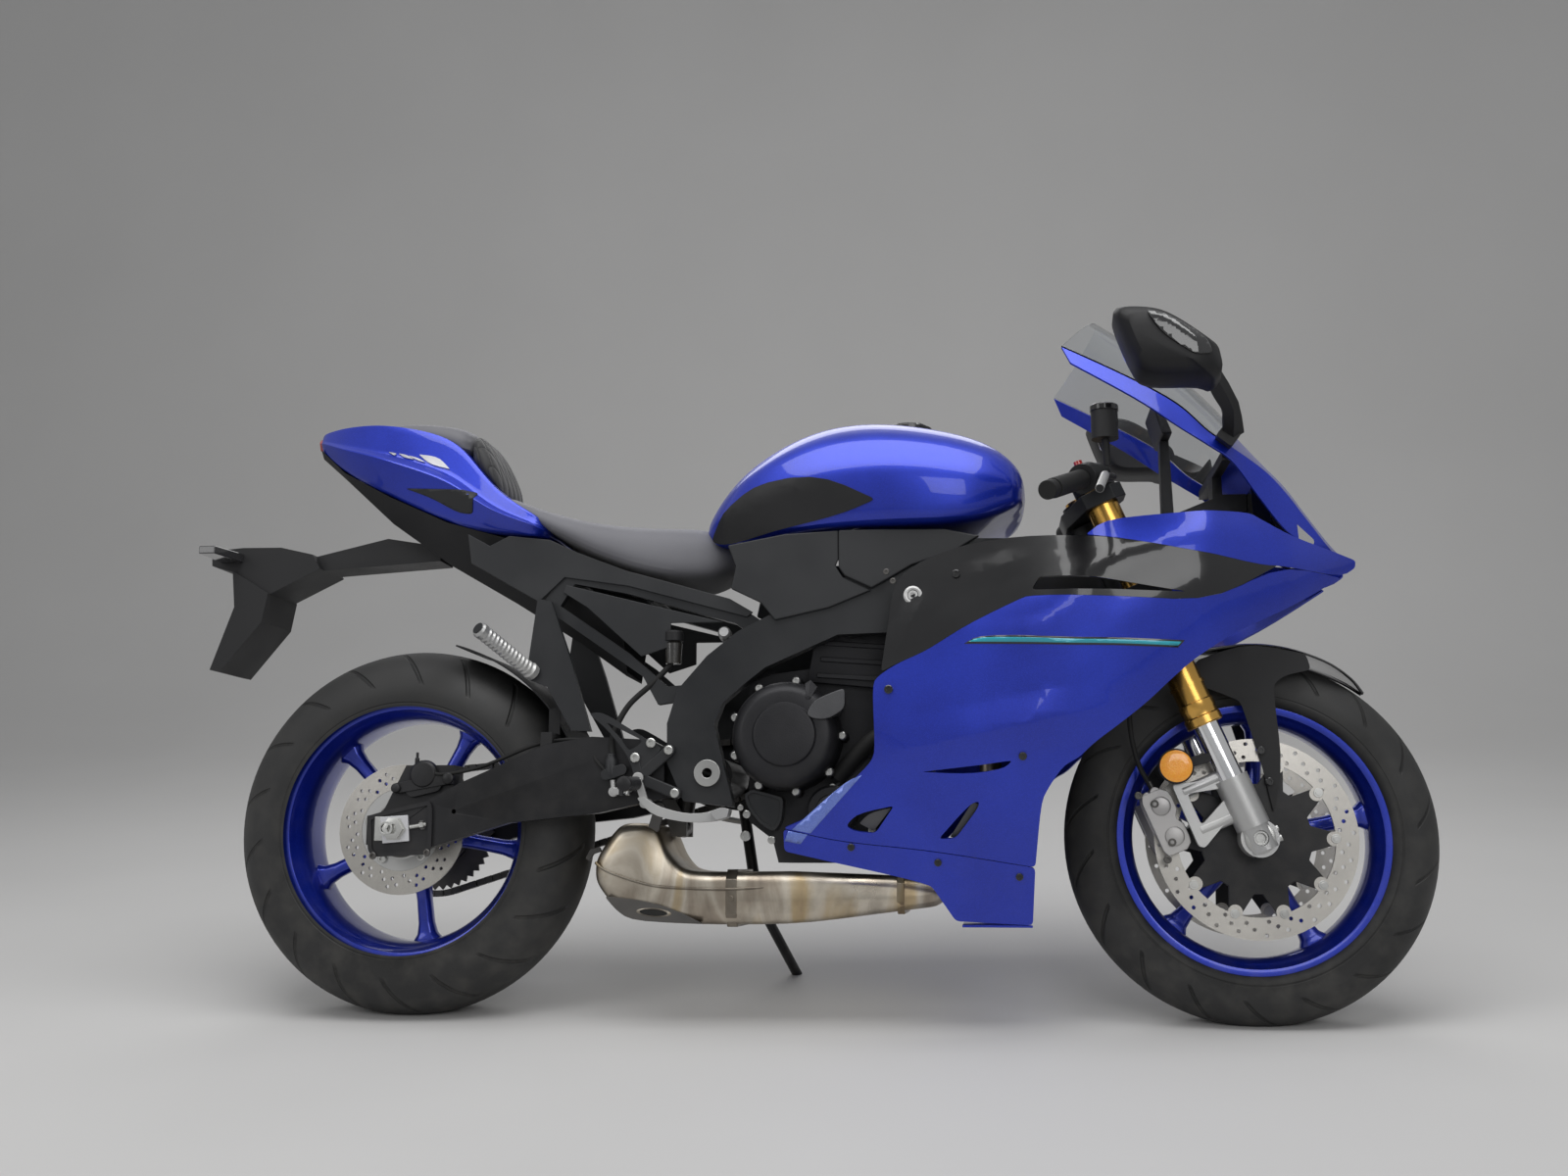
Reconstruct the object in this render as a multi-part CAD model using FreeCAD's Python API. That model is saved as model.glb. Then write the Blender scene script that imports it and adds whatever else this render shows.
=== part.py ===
import FreeCAD
import Part
import math
import os

# Sport bike, modelled upright with the rear axle over X = 0: X forward, Y left, Z up from the road.
# The last step leans it onto its side stand and moves the origin under the middle of its box.

Vector = FreeCAD.Vector

# Driving sizes of the bike, in millimetres and degrees
wheelbase = 1420.0
lean_angle = 11.0
rake_angle = 22.58
fork_offset = 28.4
fork_spacing = 210.0
running_gap = 0.3
panel_wall = 4.0
tank_wall = 3.0
spool_hole_radius = 4.0
spool_hole_depth = 18.0
spool_x = 110.0
spool_z = 345.0

# Wheels: rolling radius, crown radius of the tread and half width of the rim
front_tyre_radius = 300.0
front_crown_radius = 60.0
front_rim_half = 50.0
rear_tyre_radius = 315.0
rear_crown_radius = 90.0
rear_rim_half = 76.0
bead_radius = 212.0
flange_radius = 219.0
spoke_count = 5
front_spoke_angle = 24.0
rear_spoke_angle = 46.5
axle_radius = 12.0
axle_bore_radius = 8.0

# Brakes and chain drive
front_disc_radius = 160.0
front_disc_y = 72.0
rear_disc_radius = 110.0
rear_disc_y = 88.0
disc_wall = 5.0
chain_pitch = 15.875
chain_y = 106.0
chain_half_width = 9.0
rear_teeth = 43
front_teeth = 16
tooth_tip_drop = 4.4
link_gap = 0.9
front_sprocket_x = 615.0
front_sprocket_z = 440.0

# Fork, head and bars
fork_tube_radius = 27.0
stanchion_radius = 21.5
stem_radius = 15.0
head_tube_radius = 34.0
lug_inner = 27.0
lug_outer = 14.0
caliper_arm = 78.0
caliper_bolt_rises = (46.0, 112.0)
lower_clamp_start = 410.0
lower_clamp_wall = 35.0
upper_clamp_start = 590.0
upper_clamp_wall = 25.0
fender_half = 78.5
bar_radius = 11.0
fluid_tank_radius = 22.0
fluid_tank_top = 1003.0
grip_radius = 16.0

# Frame, swingarm and side stand
frame_inner_y = 119.5
frame_outer_y = 150.0
arm_inner_y = 119.0
arm_outer_y = 143.0
pivot_x = 540.0
pivot_z = 406.0
pivot_radius = 12.0
engine_half_width = 90.0
stand_pivot = Vector(580, 110, 210)
stand_foot = Vector(640, 270, 58)
stand_radius = 9.0
stand_eye_half = 12.0
stand_hinge = Vector(0, math.cos(math.radians(35)), math.sin(math.radians(35)))

# Where the parked bike's origin lies in the leaned frame
parked_origin_x = 664.4
parked_origin_y = 186.6

lean = math.radians(lean_angle)
rake = math.radians(rake_angle)
front_axle_z = front_tyre_radius - front_crown_radius + front_crown_radius / math.cos(lean)
rear_axle_z = rear_tyre_radius - rear_crown_radius + rear_crown_radius / math.cos(lean)
front_axle = Vector(wheelbase, 0, front_axle_z)
rear_axle = Vector(0, 0, rear_axle_z)
steer_up = Vector(-math.sin(rake), 0, math.cos(rake))
steer_ahead = Vector(math.cos(rake), 0, math.sin(rake))
leg_y = fork_spacing / 2


# Small builders

def prism(points, y_near, y_far):
    corners = [Vector(x, y_near, z) for x, z in points]
    face = Part.Face(Part.makePolygon(corners + corners[:1]))
    return face.extrude(Vector(0, y_far - y_near, 0))


def block(x_low, x_high, y_low, y_high, z_low, z_high):
    return Part.makeBox(x_high - x_low, y_high - y_low, z_high - z_low, Vector(x_low, y_low, z_low))


def rod(start, end, radius):
    line = end - start
    return Part.makeCylinder(radius, line.Length, start, line)


def cross_rod(x, z, y_low, y_high, radius):
    return rod(Vector(x, y_low, z), Vector(x, y_high, z), radius)


def loft(sections):
    wires = []
    for corners in sections:
        points = [Vector(*corner) for corner in corners]
        wires.append(Part.makePolygon(points + points[:1]))
    return Part.makeLoft(wires, True, True)


def slab(rows, offset):
    # a thin wall whose face runs through rows of points, thickened by the offset
    outer = [[Vector(*point) for point in row] for row in rows]
    inner = [[point + offset for point in row] for row in outer]
    faces = []
    last_row = len(outer) - 1
    last_column = len(outer[0]) - 1

    def triangle(a, b, c):
        faces.append(Part.Face(Part.makePolygon([a, b, c, a])))

    for layer in (outer, inner):
        for row in range(last_row):
            for column in range(last_column):
                a = layer[row][column]
                b = layer[row][column + 1]
                c = layer[row + 1][column + 1]
                d = layer[row + 1][column]
                triangle(a, b, c)
                triangle(a, c, d)
    rim = [(0, column) for column in range(last_column + 1)]
    rim += [(row, last_column) for row in range(1, last_row + 1)]
    rim += [(last_row, column) for column in range(last_column - 1, -1, -1)]
    rim += [(row, 0) for row in range(last_row - 1, -1, -1)]
    for (row, column), (next_row, next_column) in zip(rim, rim[1:]):
        a = outer[row][column]
        b = outer[next_row][next_column]
        triangle(a, b, b + offset)
        triangle(a, b + offset, a + offset)
    shape = Part.Solid(Part.makeShell(faces))
    if shape.Volume < 0:
        shape.reverse()
    return shape


def mirrored(shape):
    return shape.mirror(Vector(0, 0, 0), Vector(0, 1, 0))


def pair(shape):
    return [shape, mirrored(shape)]


def fused(shapes):
    whole = shapes[0].multiFuse(shapes[1:])
    return whole.removeSplitter()


def ring(centre, axis, outer, inner, width):
    disc = Part.makeCylinder(outer, width, centre, axis)
    return disc.cut(Part.makeCylinder(inner, width, centre, axis))


def pipe(points, bend, radius):
    # straight runs joined by tangent bends
    pieces = []
    start = Vector(*points[0])
    for before, corner, after in zip(points, points[1:], points[2:]):
        corner = Vector(*corner)
        back = (Vector(*before) - corner).normalize()
        ahead = (Vector(*after) - corner).normalize()
        half = back.getAngle(ahead) / 2
        enter = corner + back * (bend / math.tan(half))
        leave = corner + ahead * (bend / math.tan(half))
        centre = corner + (back + ahead).normalize() * (bend / math.sin(half))
        turn_axis = (enter - centre).cross(leave - centre)
        section = Part.Face(Part.Wire(Part.makeCircle(radius, enter, back * -1)))
        pieces.append(rod(start, enter, radius))
        pieces.append(section.revolve(centre, turn_axis, 180 - math.degrees(2 * half)))
        start = leave
    pieces.append(rod(start, Vector(*points[-1]), radius))
    return fused(pieces)


def stem_point(rise, ahead=0.0, side=0.0):
    # a point by its height along the steering axis above the front axle's level
    base = front_axle - steer_ahead * fork_offset
    return base + steer_up * rise + steer_ahead * ahead + Vector(0, side, 0)


def leg_point(rise, side=None):
    if side is None:
        side = leg_y
    return stem_point(rise, fork_offset, side)


# Wheels

def tyre(centre, radius, crown, rim_half):
    bead_y = rim_half - 6.3
    bead_r = bead_radius + running_gap
    wall = 9.0

    def on_crown(angle, inset=0.0):
        turn = math.radians(angle)
        return ((crown - inset) * math.sin(turn), radius - crown + (crown - inset) * math.cos(turn))

    half = [on_crown(lean_angle), on_crown(45), on_crown(85), (bead_y, bead_r)]
    inner = [(bead_y - 14, bead_r), on_crown(78, wall), on_crown(32, wall)]
    profile = half + inner
    profile += [(-y, r) for y, r in reversed(profile)]
    corners = [centre + Vector(0, y, r) for y, r in profile]
    face = Part.Face(Part.makePolygon(corners + corners[:1]))
    return face.revolve(centre, Vector(0, 1, 0), 360)


def rim(centre, rim_half, hub_right, hub_left, hub_radius, first_spoke, spoke_half):
    seat_y = rim_half - 6
    half = [(seat_y, bead_radius), (rim_half, flange_radius), (rim_half, 205), (rim_half * 0.45, 190)]
    profile = half + [(-y, r) for y, r in reversed(half)]
    corners = [centre + Vector(0, y, r) for y, r in profile]
    barrel = Part.Face(Part.makePolygon(corners + corners[:1])).revolve(centre, Vector(0, 1, 0), 360)
    hub = cross_rod(centre.x, centre.z, -hub_right, hub_left, hub_radius)
    pieces = [barrel, hub]
    spoke = loft([
        [(20, -22, -spoke_half), (20, 22, -spoke_half), (20, 22, spoke_half), (20, -22, spoke_half)],
        [(120, -13, -14), (120, 13, -14), (120, 13, 14), (120, -13, 14)],
        [(196, -16, -19), (196, 16, -19), (196, 16, 19), (196, -16, 19)],
    ])
    for index in range(spoke_count):
        turned = spoke.copy()
        turned.translate(centre)
        angle = -first_spoke - index * 360 / spoke_count
        turned.rotate(centre, Vector(0, 1, 0), angle)
        pieces.append(turned)
    whole = fused(pieces)
    bore = cross_rod(centre.x, centre.z, -hub_right, hub_left, axle_radius + running_gap)
    return whole.cut(bore)


def front_tyre():
    return [tyre(front_axle, front_tyre_radius, front_crown_radius, front_rim_half)]


def front_rim():
    return [rim(front_axle, front_rim_half, 60, 60, 30, front_spoke_angle, 24)]


def front_discs():
    disc = ring(front_axle + Vector(0, front_disc_y, 0), Vector(0, 1, 0), front_disc_radius, 124, disc_wall)
    corners = []
    for index in range(16):
        reach = 123.7 if index % 2 == 0 else 78
        turn = math.radians(index * 22.5)
        corners.append((wheelbase + reach * math.cos(turn), front_axle_z + reach * math.sin(turn)))
    bell = cross_rod(wheelbase, front_axle_z, 60, front_disc_y, 74)
    hollow = cross_rod(wheelbase, front_axle_z, 50, 90, 38)
    carrier = prism(corners, front_disc_y, front_disc_y + disc_wall).fuse(bell).cut(hollow)
    return pair(disc) + pair(carrier)


def rear_tyre():
    return [tyre(rear_axle, rear_tyre_radius, rear_crown_radius, rear_rim_half)]


def rear_rim():
    return [rim(rear_axle, rear_rim_half, 76, 90, 34, rear_spoke_angle, 26)]


def rear_disc():
    disc = ring(rear_axle + Vector(0, -rear_disc_y, 0), Vector(0, 1, 0), rear_disc_radius, 70, disc_wall)
    carrier = ring(rear_axle + Vector(0, -rear_disc_y, 0), Vector(0, 1, 0), 69.7, 26, disc_wall + 6.7)
    return [disc, carrier]


def pitch_radius(teeth):
    return chain_pitch / 2 / math.sin(math.pi / teeth)


def rear_sprocket():
    tip = pitch_radius(rear_teeth) - tooth_tip_drop
    corners = []
    for index in range(rear_teeth):
        for share, reach in ((0.0, tip), (0.5, tip - 8)):
            turn = 2 * math.pi * (index + share) / rear_teeth
            corners.append((reach * math.cos(turn), rear_axle_z + reach * math.sin(turn)))
    wheel = prism(corners, chain_y - 3, chain_y + 3)
    carrier = cross_rod(0, rear_axle_z, 90.3, chain_y - 3, 62)
    bore = cross_rod(0, rear_axle_z, 80, 120, 26)
    return [wheel.fuse(carrier).cut(bore)]


# Chain: a closed run of link bodies round both sprockets

def chain():
    rear_radius = pitch_radius(rear_teeth)
    front_radius = pitch_radius(front_teeth)
    span = Vector(front_sprocket_x, 0, front_sprocket_z - rear_axle_z)
    tilt = math.atan2(span.z, span.x)
    spread = math.acos((rear_radius - front_radius) / span.Length)
    run = span.Length * math.sin(spread)
    rear_arc = rear_radius * (2 * math.pi - 2 * spread)
    front_arc = front_radius * 2 * spread
    length = 2 * run + rear_arc + front_arc
    count = 2 * round(length / chain_pitch / 2)
    step = length / count

    def place(distance):
        # point and heading at a distance along the loop, from the rear end of the upper run
        upper = tilt + spread
        lower = tilt - spread
        if distance < run:
            start = Vector(rear_radius * math.cos(upper), 0, rear_axle_z + rear_radius * math.sin(upper))
            heading = upper - math.pi / 2
            return start + Vector(math.cos(heading), 0, math.sin(heading)) * distance, heading
        distance -= run
        if distance < front_arc:
            angle = upper - distance / front_radius
            centre = Vector(front_sprocket_x, 0, front_sprocket_z)
            return centre + Vector(math.cos(angle), 0, math.sin(angle)) * front_radius, angle - math.pi / 2
        distance -= front_arc
        if distance < run:
            start = Vector(front_radius * math.cos(lower), 0, front_radius * math.sin(lower))
            start += Vector(front_sprocket_x, 0, front_sprocket_z)
            heading = lower - math.pi / 2
            return start + Vector(math.cos(heading), 0, math.sin(heading)) * distance, heading
        distance -= run
        angle = lower - distance / rear_radius
        centre = Vector(0, 0, rear_axle_z)
        return centre + Vector(math.cos(angle), 0, math.sin(angle)) * rear_radius, angle - math.pi / 2

    links = []
    for index in range(count):
        middle, heading = place((index + 0.5) * step)
        half_width = chain_half_width if index % 2 == 0 else chain_half_width - 2.5
        half_length = step / 2 - link_gap / 2
        link = Part.makeBox(2 * half_length, 2 * half_width, 11.5, Vector(-half_length, -half_width, -4))
        link.rotate(Vector(0, 0, 0), Vector(0, 1, 0), -math.degrees(heading))
        link.translate(middle + Vector(0, chain_y, 0))
        links.append(link)
    return links


# Fork and steering head, which turn about the stem

def triple_clamps():
    stem = rod(stem_point(lower_clamp_start), stem_point(upper_clamp_start + upper_clamp_wall + 8), stem_radius)
    pieces = [stem]
    for start, wall, reach in ((lower_clamp_start, lower_clamp_wall, 41), (upper_clamp_start, upper_clamp_wall, 40)):
        outline = [(-32, 40), (-32, -40), (fork_offset - 30, -leg_y - 30), (fork_offset + 20, -leg_y - 36),
                   (fork_offset + reach, -leg_y - 20), (fork_offset + reach, -leg_y + 25), (46, -30),
                   (46, 30), (fork_offset + reach, leg_y - 25), (fork_offset + reach, leg_y + 20),
                   (fork_offset + 20, leg_y + 36), (fork_offset - 30, leg_y + 30)]
        corners = [stem_point(start, ahead, side) for ahead, side in outline]
        plate = Part.Face(Part.makePolygon(corners + corners[:1])).extrude(steer_up * wall)
        for side in (-leg_y, leg_y):
            plate = plate.cut(rod(leg_point(start - 1, side), leg_point(start + wall + 1, side), fork_tube_radius))
        pieces.append(plate)
    return [fused(pieces)]


def fork_tubes():
    tube = rod(leg_point(210), leg_point(655), fork_tube_radius)
    tube = tube.cut(rod(leg_point(209), leg_point(640), stanchion_radius + running_gap))
    seal = ring(leg_point(196), steer_up, fork_tube_radius + 2, stanchion_radius + running_gap, 14)
    return pair(tube.fuse(seal))


def fork_stanchions():
    return pair(rod(leg_point(98), leg_point(560), stanchion_radius))


def fork_bottoms():
    sleeve = rod(leg_point(20), leg_point(104), stanchion_radius + 6)
    lug = cross_rod(wheelbase, front_axle_z, leg_y - lug_inner, leg_y + lug_outer, 30)
    foot = rod(leg_point(-20), leg_point(30), stanchion_radius + 4)
    arms = []
    for rise in caliper_bolt_rises:
        arms.append(rod(leg_point(rise), leg_point(rise) - steer_ahead * caliper_arm, 10))
    bottom = fused([sleeve, lug, foot] + arms)
    bottom = bottom.cut(rod(leg_point(98), leg_point(200), stanchion_radius))
    bottom = bottom.cut(cross_rod(wheelbase, front_axle_z, 50, 140, axle_radius + running_gap))
    return pair(bottom)


def front_axle_shaft():
    shaft = cross_rod(wheelbase, front_axle_z, -leg_y - lug_outer - 6, leg_y + lug_outer + 6, axle_radius)
    spacer = cross_rod(wheelbase, front_axle_z, 60 + running_gap, leg_y - lug_inner - running_gap, 17)
    whole = fused([shaft, spacer, mirrored(spacer)])
    return [whole.cut(cross_rod(wheelbase, front_axle_z, -leg_y - 60, leg_y + 60, axle_bore_radius))]


def front_calipers():
    centre = leg_point(79) - steer_ahead * 118
    body = Part.makeBox(44, 42, 104, Vector(-22, -21, -52))
    body.rotate(Vector(0, 0, 0), Vector(0, 1, 0), -rake_angle)
    body.translate(Vector(centre.x, front_disc_y + disc_wall / 2, centre.z))
    disc_room = cross_rod(wheelbase, front_axle_z, front_disc_y - 1.5, front_disc_y + disc_wall + 1.5,
                          front_disc_radius + 3)
    body = body.cut(disc_room)
    lugs = []
    for rise in caliper_bolt_rises:
        end = leg_point(rise) - steer_ahead * (caliper_arm + running_gap)
        lug = rod(end, end - steer_ahead * 30, 10)
        lugs.append(lug.cut(block(1000, 1500, 0, front_disc_y + disc_wall + 1.5, 0, 900)))
    return pair(fused(lugs + [body]))


def front_fender():
    crown = ring(front_axle + Vector(0, -fender_half, 0), Vector(0, 1, 0), front_tyre_radius + 14,
                 front_tyre_radius + 10, 2 * fender_half)
    wedge = prism([(wheelbase, front_axle_z), (1250, 760), (1600, 760), (1640, 600)], -fender_half, fender_half)
    side = prism([(1306, 560), (1306, 592), (1353, 605), (1480, 605), (1465, 522), (1466, 419), (1449, 341),
                  (1432, 430), (1415, 515), (1380, 548)], fender_half - 0.5, fender_half + 3.5)
    side = side.cut(rod(leg_point(150), leg_point(400), fork_tube_radius + running_gap))
    return [fused([crown.common(wedge), side, mirrored(side)])]


def bar_line(share):
    inner = Vector(1196, 128, 900)
    outer = Vector(1099, 346, 822)
    return inner + (outer - inner) * share


def clip_on_bars():
    collar_start = upper_clamp_start + upper_clamp_wall + 3
    collar = rod(leg_point(collar_start), leg_point(collar_start + 30), fork_tube_radius + 8)
    bar = rod(bar_line(0.0), bar_line(1.0), bar_radius)
    whole = collar.fuse(bar)
    bore = rod(leg_point(collar_start - 30), leg_point(collar_start + 60), fork_tube_radius)
    return pair(whole.cut(bore))


def grips():
    grip = rod(bar_line(0.46), bar_line(0.97), grip_radius)
    weight = rod(bar_line(0.985), bar_line(1.07), 15)
    core = rod(bar_line(0.3), bar_line(1.0), bar_radius)
    return pair(grip.cut(core)) + pair(weight.cut(core))


def hand_controls():
    bore = rod(bar_line(-0.2), bar_line(1.1), bar_radius)
    pod = rod(bar_line(0.3), bar_line(0.44), 24).cut(bore)
    perch = rod(bar_line(0.14), bar_line(0.28), 19)
    start = bar_line(0.21) + Vector(34, 0, -4)
    lever = pipe([tuple(bar_line(0.2)), tuple(start), (1186, 250, 862), (1172, 340, 822)], 14, 6)
    perch = perch.fuse(lever).cut(bore)
    tank = rod(Vector(1197, -155, 948), Vector(1197, -155, fluid_tank_top), fluid_tank_radius)
    post = rod(Vector(1200, -148, 905), Vector(1198, -154, 949), 6)
    return pair(pod) + pair(perch) + [tank.fuse(post).cut(mirrored(bore)).cut(mirrored(perch))]


def reflectors():
    disc = rod(Vector(1294, 118, 415), Vector(1294, 126, 415), 28)
    stay = prism([(1286, 412), (1300, 398), (1362, 425), (1358, 445)], 113, 118)
    stay = stay.cut(rod(leg_point(60), leg_point(190), stanchion_radius + running_gap))
    stay = stay.cut(rod(leg_point(60), leg_point(104.3), stanchion_radius + 6 + running_gap))
    return pair(disc.fuse(stay))


# Frame and what it carries

def main_frame():
    plate = prism([(832, 752), (793, 740), (688, 690), (588, 640), (537, 600), (488, 544), (471, 488), (472, 423),
                   (500, 361), (582, 351), (580, 365), (565, 423), (550, 487), (564, 521), (602, 554),
                   (634, 579), (688, 603), (755, 632), (832, 634)], frame_inner_y, frame_outer_y)
    stations = [(832, 634, 832, 752, 119.5, 150), (990, 650, 975, 790, 112, 144),
                (1110, 682, 1085, 800, 48, 82), (1203, 712, 1160, 814, 8, 36)]
    spar = loft([[(xb, yi, zb), (xb, yo, zb), (xt, yo, zt), (xt, yi, zt)] for xb, zb, xt, zt, yi, yo in stations])
    side = [plate, spar]
    head = rod(stem_point(lower_clamp_start + lower_clamp_wall + 3), stem_point(upper_clamp_start - 3),
               head_tube_radius)
    cross = cross_rod(510, 548, -frame_inner_y, frame_inner_y, 11)
    whole = fused(side + [mirrored(plate), mirrored(spar), head, cross])
    whole = whole.cut(rod(stem_point(400), stem_point(620), stem_radius + running_gap))
    return [whole.cut(cross_rod(pivot_x, pivot_z, -160, 160, pivot_radius + running_gap))]


def pivot_shaft():
    shaft = cross_rod(pivot_x, pivot_z, -156, 156, pivot_radius)
    nut = cross_rod(pivot_x, pivot_z, frame_outer_y + running_gap, frame_outer_y + 7, 22)
    whole = fused([shaft, nut, mirrored(nut)])
    return [whole.cut(cross_rod(pivot_x, pivot_z, -160, 160, axle_bore_radius))]


def subframe(frame):
    rail = prism([(284, 751), (327, 745), (395, 734), (597, 680), (622, 663), (640, 655), (605, 640), (580, 658),
                  (395, 712), (301, 731)], 100, frame_inner_y - running_gap)
    strut = prism([(254, 709), (397, 611), (465, 553), (505, 556), (500, 530), (449, 523), (423, 570), (255, 686)],
                  100, frame_inner_y - running_gap)
    link = prism([(284, 751), (301, 731), (275, 690), (250, 705)], 100, frame_inner_y - running_gap)
    bars = [cross_rod(292, 738, -101, 101, 8), cross_rod(430, 706, -101, 101, 8)]
    rails = [rail, strut, link]
    return [fused(rails + [mirrored(rail) for rail in rails] + bars).cut(frame)]


def engine_block():
    case = prism([(600, 560), (600, 330), (640, 300), (650, 262), (830, 262), (860, 300), (905, 330), (905, 545),
                  (760, 590), (640, 575)], -engine_half_width, engine_half_width)
    head = prism([(700, 560), (905, 540), (950, 625), (925, 700), (800, 715), (715, 640)], -106, 106)
    bosses = [cross_rod(586, 600, -frame_inner_y + running_gap, frame_inner_y - running_gap, 15),
              cross_rod(740, 660, -frame_inner_y + running_gap, frame_inner_y - running_gap, 16)]
    lug = prism([(640, 540), (572, 606), (600, 614), (650, 575)], -60, 60)
    return [fused([case, head, lug] + bosses)]


def engine_covers():
    clutch = cross_rod(668, 467, -172, -engine_half_width, 90)
    clutch = clutch.cut(prism([(560, 380), (560, 560), (585, 560), (585, 380)], -200, -80))
    water = cross_rod(742, 345, -130, -engine_half_width, 42)
    generator = cross_rod(800, 440, engine_half_width, 150, 78)
    sprocket_cover = prism([(592, 380), (592, 505), (690, 505), (712, 430), (690, 370)], 118, 130)
    post = cross_rod(690, 425, engine_half_width, 119, 14)
    return [clutch, water, generator, sprocket_cover.fuse(post).cut(generator)]


def radiator(frame):
    core = block(1042, 1072, -148, 148, 370, 620)
    tanks = [block(1038, 1075, 148, 172, 366, 624), block(1038, 1075, -172, -148, 366, 624)]
    lugs = [block(1042, 1054, 86, 106, 620, 680), block(1042, 1054, -106, -86, 620, 680)]
    return [fused([core] + tanks + lugs).cut(frame)]


def exhaust_system(engine):
    outline = [(386, 323), (353, 293), (342, 268), (343, 226), (359, 203), (394, 179), (436, 165), (562, 162),
               (685, 163), (852, 185), (913, 193), (945, 227), (853, 241), (660, 248), (502, 248), (477, 256),
               (450, 280), (441, 305), (425, 322)]
    chamber = prism(outline, -115, 86)
    headers = []
    for y in (-66, 0, 66):
        header = pipe([(900, y, 600), (985, y, 590), (1000, y, 300), (935, y * 0.6, 212)], 45, 18)
        headers.append(header.cut(engine).cut(chamber))
    return [chamber] + headers


def swingarm():
    arm = prism([(-40, 338), (61, 362), (116, 391), (266, 456), (343, 468), (440, 462), (466, 450), (466, 366),
                 (356, 342), (203, 326), (69, 285), (-40, 290)], arm_inner_y, arm_outer_y)
    beam = block(430, 458, -arm_outer_y, arm_outer_y, 368, 450)
    front = prism([(440, 368), (440, 450), (548, 437), (548, 375)], 45, 95)
    tube = cross_rod(pivot_x, pivot_z, -95, 95, 32)
    bosses = cross_rod(pivot_x, pivot_z, -frame_inner_y + running_gap, frame_inner_y - running_gap, 22)
    whole = fused([arm, mirrored(arm), beam, front, mirrored(front), tube, bosses])
    whole = whole.cut(cross_rod(pivot_x, pivot_z, -160, 160, pivot_radius + running_gap))
    whole = whole.cut(cross_rod(0, rear_axle_z, -160, 160, axle_radius + running_gap))
    spool_hole = cross_rod(spool_x, spool_z, arm_outer_y - spool_hole_depth, arm_outer_y, spool_hole_radius)
    return [whole.cut(spool_hole).cut(mirrored(spool_hole))]


def rear_axle_shaft():
    shaft = cross_rod(0, rear_axle_z, -162, 162, axle_radius)
    spacer_right = cross_rod(0, rear_axle_z, -arm_inner_y + running_gap, -76.3, 18)
    spacer_left = cross_rod(0, rear_axle_z, 90.3, arm_inner_y - running_gap, 18)
    plate = block(-24, 24, arm_outer_y + running_gap, arm_outer_y + 6, rear_axle_z - 20, rear_axle_z + 20)
    whole = fused([shaft, spacer_right, spacer_left, plate, mirrored(plate)])
    return [whole.cut(cross_rod(0, rear_axle_z, -163, 163, axle_bore_radius))]


def rear_caliper():
    bracket = prism([(-26, 300), (-10, 284), (22, 290), (98, 372), (98, 424), (14, 424), (-24, 345)], -115, -103)
    bracket = bracket.cut(cross_rod(0, rear_axle_z, -130, -90, 18 + running_gap))
    body = prism([(20, 394), (98, 380), (98, 424), (20, 424)], -103, -64)
    body = body.cut(ring(rear_axle + Vector(0, -rear_disc_y - 1.5, 0), Vector(0, 1, 0), rear_disc_radius + 3, 20,
                         disc_wall + 3))
    return [fused([bracket, body])]


def shock_absorber():
    top = Vector(510, 0, 548)
    bottom = Vector(470, 0, 320)
    line = (bottom - top).normalize()
    eye = cross_rod(top.x, top.z, -16, 16, 20)
    eye = eye.cut(cross_rod(top.x, top.z, -20, 20, 11 + running_gap))
    body = rod(top + line * 19, bottom, 16)
    spring = rod(top + line * 24, top + line * 84, 29)
    foot = cross_rod(bottom.x, bottom.z, -20, 20, 15)
    links = []
    for y in (-32, 22):
        links.append(prism([(458, 306), (484, 306), (484, 330), (464, 367.7), (440, 367.7)], y, y + 10))
    pin = cross_rod(bottom.x, bottom.z, -32, 32, 7)
    return [fused([eye, body, spring, foot, pin] + links)]


def tank_sections(inset):
    sections = []
    for x, low, high, bottom, middle, top in (
            (510, 800, 842, 60, 70, 30), (560, 795, 912, 105, 120, 60), (650, 806, 986, 140, 152, 80),
            (750, 812, 1016, 165, 178, 100), (860, 812, 1009, 180, 192, 110), (970, 812, 985, 178, 180, 105),
            (1020, 830, 966, 140, 148, 100), (1073, 858, 906, 118, 124, 100)):
        belly = low + (high - low) * 0.45
        foot = bottom - inset
        waist = middle - inset
        crown = top - inset
        floor = low + inset
        roof = high - inset
        sections.append([(x, -foot, floor), (x, foot, floor), (x, waist, belly), (x, crown, roof), (x, -crown, roof),
                         (x, -waist, belly)])
    return sections


def fuel_tank():
    inside = loft(tank_sections(tank_wall)[1:-1])
    return [loft(tank_sections(0)).cut(inside)]


def tank_side_covers():
    cover = prism([(571, 785), (667, 802), (757, 806), (757, 757), (752, 746), (764, 727), (811, 704), (740, 676),
                   (651, 657), (628, 686), (577, 711), (585, 749)], frame_outer_y + running_gap, frame_outer_y + 6)
    return pair(cover)


def air_duct_covers():
    cover = prism([(827, 806), (932, 804), (990, 791), (950, 767), (878, 744), (838, 721), (812, 707), (767, 729),
                   (757.3, 744), (757.3, 806)], frame_outer_y + running_gap, frame_outer_y + 10)
    return pair(cover)


def rider_seat(tank):
    sections = []
    for x, edge, top, half in ((156, 880, 905, 92), (218, 846, 881, 118), (291, 800, 850, 132), (381, 758, 839, 132),
                               (470, 734, 837, 118), (530, 738, 842, 92), (576, 760, 800, 60)):
        shoulder = edge + (top - edge) * 0.6
        sections.append([(x, -half, edge), (x, half, edge), (x, half, shoulder), (x, half * 0.62, top),
                         (x, -half * 0.62, top), (x, -half, shoulder)])
    return [loft(sections).cut(tank)]


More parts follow.
